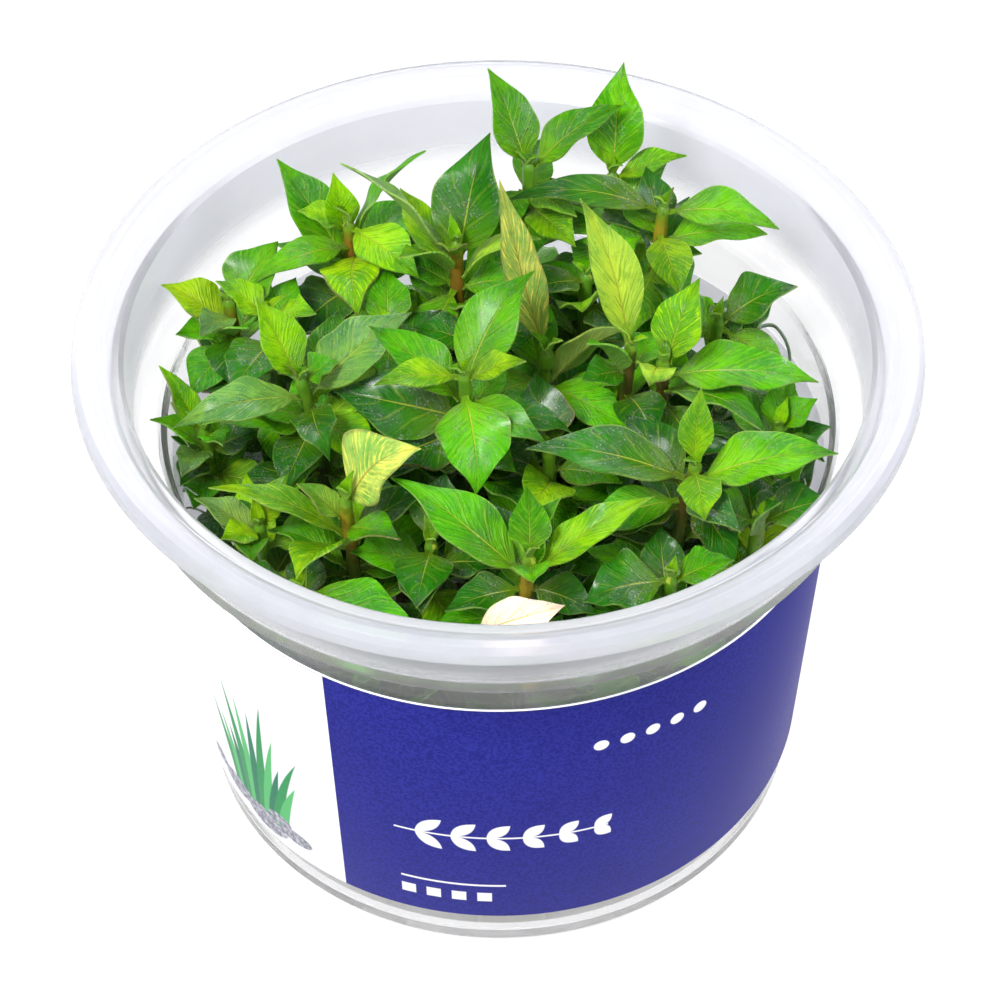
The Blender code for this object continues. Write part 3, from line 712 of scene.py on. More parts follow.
    Shoot("shoot_inner_front", (-8, -21), (-8, -24, 60), -100, [
        Leaf(0, -100, 0, 9, 7, tone="dark"),
        Leaf(0, 80, 22, 9, 6.6, tone="dark"),
        Leaf(3.5, 172, 12, 9, 6.4),
        Leaf(3.5, -10, 8, 8, 6, tone="dark"),
    ]),
]
looseLeaf = Leaf(0, 13, 6, 11, 5.6, 0.1, 50, "bleached", "leaf_bleached")
looseLeafBase = (-3, -39, 61)


def bladeWidth(along):
    grown = max(along - 0.06, 0.0) / 0.94
    return math.sin(math.pi * grown ** 0.72) ** 1.1


def leafAxes(leaf):
    azimuth, lift = math.radians(leaf.azimuth), math.radians(leaf.lift)
    outward = Vector((math.cos(azimuth), math.sin(azimuth), 0))
    upright = Vector((0, 0, 1))
    chord = outward * math.cos(lift) + upright * math.sin(lift)
    upper = upright * math.cos(lift) - outward * math.sin(lift)
    roll = Matrix.Rotation(math.radians(leaf.roll), 3, chord)
    return chord, roll @ upper, roll @ upright.cross(outward)


def leafRings(base, leaf, grown):
    # the plain body that stands for a leaf while the leaves are being settled
    chord, upper, right = leafAxes(leaf)
    stations = plant["longStations" if leaf.length >= plant["longLeaf"] else "stations"]
    thick = plant["thick"] / 2 + grown
    rings = []
    for along in stations:
        bow = leaf.bow * 4 * along * (1 - along)
        middle = base + (chord * along + upper * bow) * leaf.length
        half = bladeWidth(along) * leaf.width / 2 + grown
        rise = upper * half * plant["fold"]
        rings.append([
            middle - upper * thick,
            middle + right * half + rise,
            middle + upper * thick,
            middle - right * half + rise,
        ])
    return rings, base + chord * (leaf.length + grown)


def bodyTree(rings, tip=None):
    points = [point for ring in rings for point in ring]
    faces = []
    for start in range(0, len(points) - 4, 4):
        faces += [(start + k, start + (k + 1) % 4, start + 4 + (k + 1) % 4, start + 4 + k) for k in range(4)]
    if tip:
        last = len(points) - 4
        points.append(tip)
        faces += [(last + k, last + (k + 1) % 4, last + 4) for k in range(4)]
        faces.append((3, 2, 1, 0))
    return BVHTree.FromPolygons(points, faces)


def stalkRing(base, leaf):
    upper, right = leafAxes(leaf)[1:]
    half = plant["crownHalf"] + plant["room"]
    return [base - upper * half, base + right * half, base + upper * half, base - right * half]


def insideCup(points):
    return all(
        point.z > gel["high"] + 1 and math.hypot(point.x, point.y) < freeRadius(point.z) - plant["gap"]
        for point in points
    )


def crosses(trial, blades, stems):
    for name, tree in stems.items():
        if (trial.blade if name == trial.owner else trial.whole).overlap(tree):
            return True
    for other in blades:
        if (other.middle - trial.middle).length > other.reach + trial.reach:
            continue
        if other.owner != trial.owner:
            met = trial.whole.overlap(other.whole)
        elif other.drop != trial.drop:
            met = trial.whole.overlap(other.blade) or trial.blade.overlap(other.whole)
        else:
            met = trial.blade.overlap(other.blade)
        if met:
            return True
    return False


def settle(owner, base, leaf, stems, blades, scales=plant["scales"], step=plant["turnStep"]):
    # the nearest turn of the leaf, or the longest shorter one, that crosses nothing
    turns = ((1, 0), (-1, 0), (0, 1), (0, -1), (1, 1), (-1, -1), (1, -1), (-1, 1))
    for scale in scales:
        for spread in range(0, plant["turnReach"] + 1, step):
            for sideways, upwards in turns if spread else turns[:1]:
                turned = leaf._replace(
                    azimuth=leaf.azimuth + spread * sideways,
                    lift=leaf.lift + spread * upwards,
                    length=leaf.length * scale,
                )
                rings, tip = leafRings(base, turned, plant["room"])
                if not insideCup([point for ring in rings for point in ring] + [tip]):
                    continue
                whole = bodyTree([stalkRing(base, turned)] + rings, tip)
                middle, reach = (base + tip) / 2, leaf.length * 0.6
                trial = Blade(owner, leaf.drop, bodyTree(rings, tip), whole, middle, reach)
                if not crosses(trial, blades, stems):
                    blades.append(trial)
                    return turned
    return None


def stemPoint(shoot, height):
    low = gel["high"] + plant["gap"]
    part = (height - low) / (shoot.crown[2] - low)
    foot, crown = Vector((*shoot.foot, 0)), Vector((*shoot.crown[:2], 0))
    return foot.lerp(crown, part * part) + Vector((0, 0, height))


def stemHalf(shoot, height):
    part = (height - gel["high"]) / (shoot.crown[2] - gel["high"])
    return plant["footHalf"] + part * (plant["crownHalf"] - plant["footHalf"])


def nodeHeights(shoot):
    drops = sorted({leaf.drop for leaf in shoot.leaves})
    drops += [drops[-1] + plant["nodeStep"] * (k + 1) for k in range(plant["lowNodes"])]
    return [shoot.crown[2] - plant["nodeHalf"] - drop for drop in drops]


def stemRings(shoot):
    heights = [gel["high"] + plant["gap"]]
    for height in reversed(nodeHeights(shoot)):
        heights += [height - plant["nodeHalf"], height + plant["nodeHalf"]]
    rings = []
    for height in heights:
        middle, reach = stemPoint(shoot, height), stemHalf(shoot, height) * math.sqrt(2)
        angles = [math.radians(shoot.turn - 45 + 90 * corner) for corner in range(4)]
        rings.append([middle + Vector((math.cos(angle), math.sin(angle), 0)) * reach for angle in angles])
    return rings


def socket(shoot, leaf):
    sides = [shoot.turn + 90 * k for k in range(4)]
    side = math.radians(min(sides, key=lambda angle: abs((leaf.azimuth - angle + 180) % 360 - 180)))
    outward = Vector((math.cos(side), math.sin(side), 0))
    height = shoot.crown[2] - plant["nodeHalf"] - leaf.drop
    return stemPoint(shoot, height) + outward * stemHalf(shoot, height)


def lowLeaves(shoot, chance):
    lowest = max(leaf.drop for leaf in shoot.leaves)
    leaves = []
    for k in range(plant["lowNodes"]):
        for side in (0, 180):
            leaves.append(Leaf(
                lowest + plant["nodeStep"] * (k + 1),
                shoot.turn + 90 * (k % 2) + side + chance.uniform(-25, 25),
                chance.uniform(-5, 35),
                chance.uniform(8.5, 11.5),
                chance.uniform(5, 7),
                tone="dark",
            ))
    return leaves


# Leaves that only the fine model has: some listed where the plant shows them, then more pairs at nodes
# between, down towards the gel.

spareLeaves = {
    "shoot_back_left": [Leaf(1.3, 120, 45, 8.5, 4.6, tone="young"), Leaf(4, -20, 20, 9, 4.6)],
    "shoot_back": [Leaf(3.6, 120, 46, 13.5, 4.6, tone="young")],
    "shoot_peak_left": [Leaf(5, -40, 2, 9.5, 6, tone="young"), Leaf(5, -100, -10, 8.5, 6)],
    "shoot_left_edge": [
        Leaf(1.5, -170, 62, 8, 4.2),
        Leaf(2.6, -120, 25, 7.5, 4.6, tone="grey"),
        Leaf(5, -140, 55, 7, 4.4, tone="dark"),
        Leaf(5, 175, 60, 8.5, 4.6, tone="grey"),
        Leaf(5, 80, 35, 8.5, 5),
        Leaf(9, 165, 60, 8, 5, tone="dark"),
        Leaf(9, -120, 50, 8, 5),
        Leaf(9, 60, 30, 9, 5),
    ],
    "shoot_far_left": [
        Leaf(1.3, -120, 20, 7, 4.6, tone="grey"),
        Leaf(5.2, -140, 10, 7.5, 5),
        Leaf(5.2, 165, 60, 8, 4.6),
        Leaf(8.5, 175, 35, 7, 5, tone="young"),
    ],
    "shoot_slim": [Leaf(1.6, 161, 28, 8.5, 4.6, tone="grey"), Leaf(1.5, -91, 30, 7, 4.4)],
    "shoot_right_edge": [
        Leaf(1.4, -36, 5, 6.4, 4.4, tone="dark"),
        Leaf(1.4, 70, 35, 7.5, 4.6),
        Leaf(4.5, -15, 60, 7, 4.6, tone="dark"),
        Leaf(8.5, -30, 55, 7, 4.6),
    ],
    "shoot_far_right": [Leaf(1.5, -47, 60, 7.5, 5, tone="dark"), Leaf(1.4, 45, 25, 7.5, 5, tone="dark")],
    "shoot_right_rear": [Leaf(1.5, -28, -10, 11.5, 5), Leaf(4.8, 40, 20, 10, 5.6, tone="dark")],
}
filling = {
    "first": 4.2, "step": 4.2, "lowest": 21.0, "deep": 12, "length": (8.5, 14.5), "width": (0.46, 0.6),
    "bow": (0.02, 0.13), "roll": (-25, 25), "aside": (-30, 30), "lift": (5, 38), "deepLift": (-12, 30),
    "upperTones": ("mid", "young", "dark", "mid", "mid"), "deepTones": ("dark", "mid"),
    "reach": 41.5, "turnStep": 15, "scales": (1, 0.75), "seed": 23,
}
leafLooks = {  # where the photograph shows another tone or a larger blade than the solids' plain one
    "leaf_left_arching": {"tone": "grey"},
    "leaf_back_slender": {"tone": "grey"},
    "leaf_left_broad": {"tone": "grey"},
    "leaf_underside": {"tone": "olive"},
    "leaf_long_yellow": {"tone": "straw"},
    "leaf_crumpled_yellow": {"length": 10.5, "width": 11.5, "tone": "straw"},
}


def fillLeaves(shoot, chance):
    leaves = []
    drop = filling["first"]
    quarter = 1
    while shoot.crown[2] - drop > filling["lowest"]:
        for side in (0, 180):
            length = chance.uniform(*filling["length"])
            deep = drop > filling["deep"]
            leaves.append(Leaf(
                drop + 0.01 * quarter,  # a node of its own, beside one that the solids have
                shoot.turn + 45 + 90 * (quarter % 2) + side + chance.uniform(*filling["aside"]),
                chance.uniform(*filling["deepLift" if deep else "lift"]),
                length,
                length * chance.uniform(*filling["width"]),
                chance.uniform(*filling["bow"]),
                chance.uniform(*filling["roll"]),
                chance.choice(filling["deepTones" if deep else "upperTones"]),
            ))
        drop += filling["step"]
        quarter += 1
    return leaves


# One leaf blade. The fine and the small pattern hold stations along and across, and which side of the blade.

blade = {
    "fine": (30, 10), "small": (16, 8), "smallBelow": 9.5,
    "half": 0.13, "rib": 0.30, "groove": 0.10, "ridge": 0.32,
    "petiole": 0.48, "petioleEnd": 0.13,
    "wave": 0.09, "quilt": 0.03, "veins": 5.0, "ascend": 1.9, "tipStart": 0.6, "tipWaist": 0.16,
    "droopStart": 0.55, "twistStart": 0.25, "weld": 0.004,
}
bladeChances = {  # how much each blade may differ, in the order in which the chances are drawn
    "fold": (0.1, 0.5), "waves": (1.2, 2.6), "phase": (0.0, 1.0), "wavy": (0.25, 1.0), "twist": (-0.4, 0.4),
    "sway": (-0.04, 0.04), "droop": (0.0, 0.45), "uneven": (0.01, 0.05),
}
crumpledTones = ("yellow", "bleached")
tones = {
    "dark": (0.012, 0.14, 0.003),
    "mid": (0.072, 0.38, 0.001),
    "young": (0.19, 0.50, 0.002),
    "yellow": (0.20, 0.46, 0.04),
    # grey green: painted sheen, the soft greyish reflection that some leaves show
    "grey": (0.11, 0.29, 0.06),
    "olive": (0.27, 0.38, 0.04),
    "straw": (0.48, 0.60, 0.12),
    "bleached": (0.78, 0.80, 0.74),
}


def bladePattern(name, stations):
    # a closed sheet of two sides: x runs along the leaf, y across it, z tells the upper side from the under
    along, across = stations
    bm = bmesh.new()
    bladeMap = bm.loops.layers.uv.new("bladeMap")
    bmesh.ops.create_grid(bm, x_segments=along, y_segments=across, size=1)
    sheet = bmesh.ops.extrude_face_region(bm, geom=bm.faces[:], use_keep_orig=True)["geom"]
    upper = [item for item in sheet if isinstance(item, bmesh.types.BMVert)]
    bmesh.ops.translate(bm, verts=upper, vec=(0, 0, 1))
    bmesh.ops.recalc_face_normals(bm, faces=bm.faces[:])
    for vert in bm.verts:
        s, t = (vert.co.x + 1) / 2, vert.co.y
        vert.co.x = 1 - (1 - s) ** 1.15
        vert.co.y = math.copysign(abs(t) ** 1.35, t)
    for face in bm.faces:
        for loop in face.loops:
            loop[bladeMap].uv = (loop.vert.co.x, loop.vert.co.y)
    mesh = bpy.data.meshes.new(name)
    bm.to_mesh(mesh)
    bm.free()
    return mesh


def bladeHalf(leaf, s):
    toTip = max(s - blade["tipStart"], 0) / (1 - blade["tipStart"])
    half = bladeWidth(s) * leaf.width / 2 * (1 - blade["tipWaist"] * toTip)
    if s < blade["petioleEnd"]:
        half = max(half, blade["petiole"] * (1 - 0.45 * s / blade["petioleEnd"]))
    return half


def bladePoint(base, leaf, axes, look, s, t, side):
    chord, upper, right = axes
    half = bladeHalf(leaf, s)
    end = math.sin(math.pi * min(s, 1.0))
    half *= 1 + look["uneven"] * math.sin(19 * s + look["phase"] * 3 + (2.0 if t > 0 else 0.0))
    twist = look["twist"] * (s - blade["twistStart"])
    c, n = math.cos(twist), math.sin(twist)
    across, over = right * c + upper * n, upper * c - right * n
    bow = leaf.bow * 4 * s * (1 - s)
    sway = look["sway"] * 4 * s * (1 - s)
    middle = base + (chord * s + upper * bow + right * sway) * leaf.length
    reach = abs(t)
    lift = half * (look["fold"] * reach ** 1.2 + (plant["fold"] - look["fold"]) * reach * reach)
    wave = math.sin(math.tau * (s * look["waves"] + look["phase"] + (0.3 if t > 0 else 0)))
    lift += blade["wave"] * look["wavy"] * leaf.width * wave * reach ** 2.2 * end
    lift -= look["droop"] * leaf.length * max(s - blade["droopStart"], 0) ** 2
    vein = math.cos(math.tau * (s * blade["veins"] - reach * blade["ascend"]))
    lift -= blade["quilt"] * vein * end * math.sin(math.pi * min(reach, 1)) * min(leaf.width / 6, 1.3)
    ridge = math.exp(-(reach * half / blade["ridge"]) ** 2) * (1 - s) ** 0.6
    if side > 0.5:
        lift += blade["half"] - blade["groove"] * ridge
    else:
        lift -= blade["half"] + blade["rib"] * ridge
    return middle + across * (half * t) + over * lift


def addBlade(bm, base, leaf, pattern, chance, marks):
    look = {name: chance.uniform(*limits) for name, limits in bladeChances.items()}
    if leaf.tone in crumpledTones:
        look["wavy"] *= 1.5
    mesh = pattern["fine" if leaf.length >= blade["smallBelow"] else "small"]
    start = len(bm.verts)
    bm.from_mesh(mesh)
    bm.verts.ensure_lookup_table()
    axes = leafAxes(leaf)
    for index in range(start, len(bm.verts)):
        vert = bm.verts[index]
        s, t, side = vert.co
        vert.co = bladePoint(base, leaf, axes, look, s, t, side)
        marks.append((index, side))
    shade = chance.uniform(0.8, 1.22)
    warm = chance.uniform(-0.12, 0.2)
    r, g, b = tones[leaf.tone]
    colour = (r * shade * (1 + warm), g * shade, b * shade, chance.random())
    return start, len(bm.verts), colour, leaf.tone


# Stems: rounded squares that swell at each node, sweeping up to a crown with its bud leaves.

stem = {
    "sides": 8, "swell": 1.1, "shoulder": 1.05, "pinch": 0.82, "nodeRings": (-1.5, -0.5, 0.5, 1.3),
    "ringStep": 3.0, "footSunk": 0.6, "topDrop": 0.3, "tip": 0.9, "tipShare": 0.35,
    "budLength": (2.8, 4.2), "budWidth": (0.36, 0.46), "budBow": 0.12,
    "budLift": (52, 70), "budAside": (-15, 15),
}


def sweep(bm, path, radii, sides, turn=0.0):
    # a tube grown ring by ring from a short closed cone along a path
    toward = (path[1] - path[0]).normalized()
    aim = Vector((0, 0, 1)).rotation_difference(toward).to_matrix().to_4x4()
    start = Matrix.Translation((path[0] + path[1]) / 2) @ aim @ Matrix.Rotation(turn, 4, "Z")
    made = bmesh.ops.create_cone(bm, cap_ends=True, segments=sides, radius1=radii[0], radius2=radii[1],
                                 depth=(path[1] - path[0]).length, matrix=start)["verts"]
    cap = max({face for vert in made for face in vert.link_faces if len(face.verts) == sides},
              key=lambda face: (face.calc_center_median() - path[0]).dot(toward))
    for k in range(2, len(path)):
        ahead = (path[k] - path[k - 1]).normalized()
        bend = toward.rotation_difference(ahead).to_matrix()
        cap = bmesh.ops.extrude_discrete_faces(bm, faces=[cap])["faces"][0]
        ring = cap.verts[:]
        bmesh.ops.rotate(bm, verts=ring, cent=path[k - 1], matrix=bend)
        bmesh.ops.translate(bm, verts=ring, vec=path[k] - path[k - 1])
        size = radii[k] / radii[k - 1]
        bmesh.ops.scale(bm, verts=ring, vec=(size, size, size), space=Matrix.Translation(-path[k]))
        toward = ahead


def growStem(bm, shoot):
    low, high = gel["high"] - stem["footSunk"], shoot.crown[2] - stem["topDrop"]
    nodes = nodeHeights(shoot)
    heights = {low, high}
    for height in nodes:
        heights |= {height + ring for ring in stem["nodeRings"]}
    between = low
    while between < high:
        heights.add(between)
        between += stem["ringStep"]
    path, radii = [], []
    for height in sorted(height for height in heights if low <= height <= high):
        path.append(stemPoint(shoot, height))
        near = min(abs(height - node) for node in nodes)
        size = stem["swell"] if near < 0.6 else stem["pinch"] if near > 1.6 else stem["shoulder"]
        radii.append(stemHalf(shoot, height) * size)
    path.append(path[-1] + Vector((0, 0, stem["tip"])))
    radii.append(radii[-1] * stem["tipShare"])
    sweep(bm, path, radii, stem["sides"], math.radians(shoot.turn + 22.5))


# Bare strands: roots and dry stalks that leave a stem. Each has its half thickness, its colour and the points
# that it runs through.

Strand = namedtuple("Strand", "half colour points")
strands = {
    "shoot_right_rear": [
        Strand(0.3, (0.30, 0.38, 0.24), [
            (26.9, 5.6, 57), (31, 12, 58.5), (34.5, 15.7, 57.2), (35.9, 13.2, 58), (36.7, 10.4, 57.5),
            (36.9, 10.3, 53.5), (36.5, 11, 49), (36.4, 11.2, 44),
        ]),
        Strand(0.22, (0.62, 0.58, 0.42), [
            (26.4, 7.2, 40), (29, 14, 42), (30.8, 18.4, 43), (32.4, 16, 44.2), (34, 12, 46.5),
        ]),
        Strand(0.18, (0.62, 0.42, 0.20), [
            (26.4, 7.2, 38), (32, 17.5, 42), (33.6, 15.4, 45.2), (35.6, 12, 48),
        ]),
    ],
    "shoot_right_edge": [
        Strand(0.2, (0.58, 0.60, 0.46), [
            (33.6, -7, 52), (36.5, -3, 49), (37.8, -1, 47.5), (38.2, -4.8, 49.5), (38.4, -5.6, 45),
        ]),
    ],
    "shoot_left": [
        Strand(0.5, (0.27, 0.28, 0.09), [
            (-21.6, -4.6, 48), (-19, -1.6, 50.5), (-16.7, -0.6, 51), (-13.4, -0.4, 51), (-10, -1.8, 50.5),
            (-7.2, -3.8, 49),
        ]),
    ],
    "shoot_left_edge": [
        Strand(0.2, (0.40, 0.45, 0.38), [
            (-35.6, -5, 47), (-38, -3, 49), (-39.2, -5, 49), (-38.4, -9, 54), (-36.4, -13.6, 57.5),
        ]),
        Strand(0.16, (0.48, 0.52, 0.44), [
            (-35.6, -5, 44), (-38.4, -5, 46), (-39.3, -7.5, 48), (-37.6, -12.5, 52), (-35.6, -16, 54),
        ]),
    ],
}


def curvedPath(points, steps=4):
    # points along a smooth curve that passes through the given ones
    points = [Vector(point) for point in points]
    ends = [points[0] * 2 - points[1]] + points + [points[-1] * 2 - points[-2]]
    path = []
    for before, first, second, after in zip(ends, ends[1:], ends[2:], ends[3:]):
        for k in range(steps):
            t = k / steps
            square = before * 2 - first * 5 + second * 4 - after
            cube = first * 3 - before - second * 3 + after
            path.append((first * 2 + (second - before) * t + square * t * t + cube * t ** 3) / 2)
    return path + [points[-1]]


def growStrands(bm, shoot):
    # each strand thins out towards its end
    placed = []
    for strand in strands.get(shoot.name, ()):
        start = len(bm.verts)
        path = curvedPath(strand.points)
        radii = [strand.half * (1 - 0.55 * k / (len(path) - 1)) for k in range(len(path))]
        sweep(bm, path, radii, 6)
        placed.append((start, len(bm.verts), (*strand.colour, 0.5), "strand"))
    return placed


def budLeaves(shoot, chance):
    base = Vector(shoot.crown) - Vector((0, 0, stem["topDrop"]))
    leaves = []
    for side in (0, 180):
        length = chance.uniform(*stem["budLength"])
        leaves.append((base, Leaf(
            0,
            shoot.turn + 45 + side + chance.uniform(*stem["budAside"]),
            chance.uniform(*stem["budLift"]),
            length,
            length * chance.uniform(*stem["budWidth"]),
            stem["budBow"],
            tone="young",
        )))
    return leaves


# Leaf and stem finishes. The colour of each leaf is in the vertex attribute leafColour. leafMarks holds how far
# a point is on the under side, how wet the leaf is, how aged its margin is and how warm its midrib is.

def leafFinish():
    look = {
        "rib": (0.52, 0.62, 0.06), "warmRib": (0.42, 0.15, 0.02), "ribHalf": 0.034,
        "under": (0.34, 0.49, 0.15), "aged": (0.16, 0.09, 0.04), "foot": (0.34, 0.50, 0.02),
        "rim": (0.42, 0.62, 0.10), "paintedSheen": (0.30, 0.46, 0.34),
        "deep": (0.24, 0.54, 0.4), "bright": (2.1, 1.5, 1.0), "drop": (0.62, 0.74, 0.60),
        "veinShare": 0.22, "underShare": 0.4, "paintedSheenShare": 0.14,
        "rough": 0.40, "wetSmooth": 0.14, "sheen": 0.7, "relief": 0.00022, "dropHeight": 0.0002,
    }
    f = Finish("leaf_green")
    own = f.attribute("leafColour")
    under, wet, aged = f.split(f.attribute("leafMarks"))
    warm = f.attribute("leafMarks", "Alpha")
    s, t = f.mapAxes("bladeMap")
    reach = abs(t)
    cells = f.noise(f.place(), 520, 4.0, 0.6)
    patches = f.noise(f.place(), 120, 4.0)
    drift = f.noise(f.place(), 240, 3.0)
    fine = f.noise(f.place(), 1900, 2.0)
    # small drops of water, in patches
    dropCells = {"Vector": f.place(), "Scale": 2000.0}
    beads = 1 - f.node("TexVoronoi", {"feature": "F1"}, dropCells).step(0.18, 0.40)
    beads = beads * drift.step(0.47, 0.54) * cells.step(0.4, 0.5) * wet
    ribHalf = (1.12 - s) * look["ribHalf"]
    rib = 1 - reach.step(ribHalf * 0.4, ribHalf * 1.8)
    # side veins leave the midrib at an angle and bend towards the tip
    turns = s * blade["veins"] - reach * blade["ascend"] + reach * reach * 0.5 + (drift - 0.5) * 0.5
    vein = ((turns * math.tau).cosine() * 0.5 + 0.5) ** 22
    vein = vein * reach.step(0.02, 0.12) * (1 - reach.step(0.6, 0.95)) * cells.step(0.3, 0.55)
    net = (1 - abs(cells - 0.5) * 9).most(0.0) * 0.5  # the fine net between the side veins
    # fine pleats that run with the side veins
    pleats = f.noise(f.join(turns * 6.5, reach * 1.6, drift * 2), 1.0, 3.0, 0.6)
    deep = f.tinted(own, look["deep"])
    bright = f.tinted(own, look["bright"])
    colour = f.mix(patches.step(0.46, 0.60) * 0.8, own, deep)
    middle = 1 - reach.step(0.15, 0.9)
    colour = f.mix((1 - patches).step(0.44, 0.62) * (middle * 0.65 + 0.25), colour, bright)
    colour = f.mix(cells.step(0.5, 0.68) * 0.4, colour, deep)
    colour = f.mix(net * 0.25, colour, bright)
    # painted highlight on the pleats' ridges and painted shade in their grooves
    colour = f.mix(pleats.step(0.52, 0.66) * 0.7, colour, bright)
    colour = f.mix((1 - pleats).step(0.54, 0.68) * 0.6, colour, deep)
    colour = f.mix((1 - s) ** 4 * 0.5, colour, look["foot"])
    # painted sheen: greyish patches on wet leaves stand in for the soft reflection of the bright surroundings
    paintedSheen = drift.step(0.48, 0.62) * wet * (0.4 + fine.step(0.4, 0.6) * 0.6)
    colour = f.mix(paintedSheen * look["paintedSheenShare"], colour, look["paintedSheen"])
    ribColour = f.mix(warm, look["rib"], look["warmRib"])
    colour = f.mix(vein * look["veinShare"], colour, ribColour)
    colour = f.mix(rib * (0.85 - s * 0.5), colour, ribColour)
    colour = f.mix(under * look["underShare"], colour, look["under"])
    # painted highlight: a paler line along the margin, where the blade's edge catches the light
    colour = f.mix(reach.step(0.93, 0.99) * drift.step(0.4, 0.6) * 0.4, colour, look["rim"])
    margin = reach.step(0.86, 0.98).most(s.step(0.93, 0.99)) * patches.step(0.42, 0.58)
    colour = f.mix(margin * aged, colour, look["aged"])
    # painted glint: the water drops lighten the leaf's colour
    colour = f.mix(beads * 0.35, colour, look["drop"])
    rough = under * 0.16 + (cells.step(0.4, 0.7) - 0.5) * 0.2 - wet * look["wetSmooth"] + look["rough"]
    height = cells * 0.5 + fine * 0.2 + pleats * 1.6 + vein * 0.25 - rib * 0.7 - net * 0.3
    relief = f.bump(height, look["relief"], 0.9)
    return f.shade({
        "Base Color": colour,
        "Roughness": (rough - beads * 0.2).most(0.1),
        "IOR": 1.42,
        "Specular IOR Level": 0.25,
        "Coat Weight": (wet * (1 - under) * drift.step(0.40, 0.58) * look["sheen"]).most(beads),
        "Coat Roughness": 0.24,
        "Subsurface Weight": 0.12,
        "Subsurface Radius": (0.0011, 0.0016, 0.0004),
        "Subsurface Scale": 1.0,
        "Normal": f.bump(beads, look["dropHeight"], 1.0, relief),
    })


def stemFinish():
    f = Finish("stem_green_brown")
    own = f.attribute("leafColour")
    look = {"streak": (0.55, 0.8, 0.9), "spot": (0.3, 0.24, 0.2), "grain": (900, 900, 110)}
    along = f.node("Mapping", None, {"Vector": f.place(), "Scale": look["grain"]})
    streak = f.noise(along, 1.0, 3.0)
    spots = f.noise(f.place(), 520, 3.0)
    colour = f.mix(streak.step(0.35, 0.65) * 0.8, own, f.tinted(own, look["streak"]))
    colour = f.mix(spots.step(0.55, 0.7) * 0.7, colour, f.tinted(own, look["spot"]))
    return f.shade({
        "Base Color": colour,
        "Roughness": 0.34 + spots * 0.2,
        "Subsurface Weight": 0.1,
        "Subsurface Radius": (0.0012, 0.0012, 0.0004),
        "Subsurface Scale": 1.0,
        "Normal": f.bump(streak + spots * 0.5, 0.0002, 0.8),
    })


stemColours = {
    "foot": (0.08, 0.05, 0.015), "middle": (0.08, 0.13, 0.015), "crown": (0.17, 0.36, 0.015),
    "amber": (0.50, 0.33, 0.02), "rust": (0.32, 0.16, 0.015), "bark": (0.14, 0.10, 0.015),
    "warmFoot": (0.12, 0.055, 0.012),
}
warmShoots = {  # how far down from the crown, in mm, and which warm colour
    "shoot_right_back": (26, "amber"), "shoot_back_left": (24, "rust"), "shoot_front": (16, "amber"),
    "shoot_front_left": (12, "amber"), "shoot_back": (14, "rust"), "shoot_tall": (16, "bark"),
    "shoot_far_left": (10, "rust"), "shoot_middle_right": (14, "bark"), "shoot_right": (12, "bark"),
}


def blend(first, second, share):
    share = min(max(share, 0.0), 1.0)
    return tuple(a + (b - a) * share for a, b in zip(first, second))


def stemColour(shoot, height):
    below = shoot.crown[2] - height
    colour = blend(stemColours["crown"], stemColours["middle"], below / 18)
    colour = blend(colour, stemColours["foot"], (below - 14) / 22)
    if shoot.name in warmShoots:
        reach, warmth = warmShoots[shoot.name]
        warm = blend(stemColours[warmth], stemColours["warmFoot"], (below - 3) / reach)
        warm = blend(stemColours["crown"], warm, below / 2.5)
        colour = blend(warm, colour, (below - reach * 0.7) / (reach * 0.6))
    return colour


wetness = {"dark": 1.0, "mid": 0.55, "young": 0.25, "grey": 0.6}
warmMidribs = {"yellow": 0.4, "straw": 0.8, "olive": 1.0}
agedMargins = {"yellow": 0.5, "straw": 0.5}


def paint(bm, blades, marks, shoot=None):
    # colours and marks of every point: first the stem's own points, then those of each blade
    colours = bm.verts.layers.float_color.new("leafColour")
    leafMarks = bm.verts.layers.float_color.new("leafMarks")
    bm.verts.ensure_lookup_table()
    for vert in bm.verts[:blades[0][0]]:
        vert[colours] = (*stemColour(shoot, vert.co.z), 1.0)
        vert[leafMarks] = (0.0, 0.3, 0.0, 0.0)
    sides = dict(marks)
    for start, end, colour, tone in blades:
        wet = wetness.get(tone, 0.0) * (0.6 + 0.4 * colour[3])
        aged = agedMargins.get(tone, 0.7 if colour[3] > 0.86 else 0.05)
        warm = warmMidribs.get(tone, 0.0)
        for index in range(start, end):
            vert = bm.verts[index]
            vert[colours] = colour
            vert[leafMarks] = (1.0 - sides.get(index, 1.0), wet, aged, warm)


def newPlant():
    bm = bmesh.new()
    bm.loops.layers.uv.new("bladeMap")
    return bm


def finishPlant(name, bm, finishes, replaced):
    bmesh.ops.remove_doubles(bm, verts=bm.verts[:], dist=blade["weld"])
    bmesh.ops.recalc_face_normals(bm, faces=bm.faces[:])
    finishPiece(name, bm, finishes, replaced)


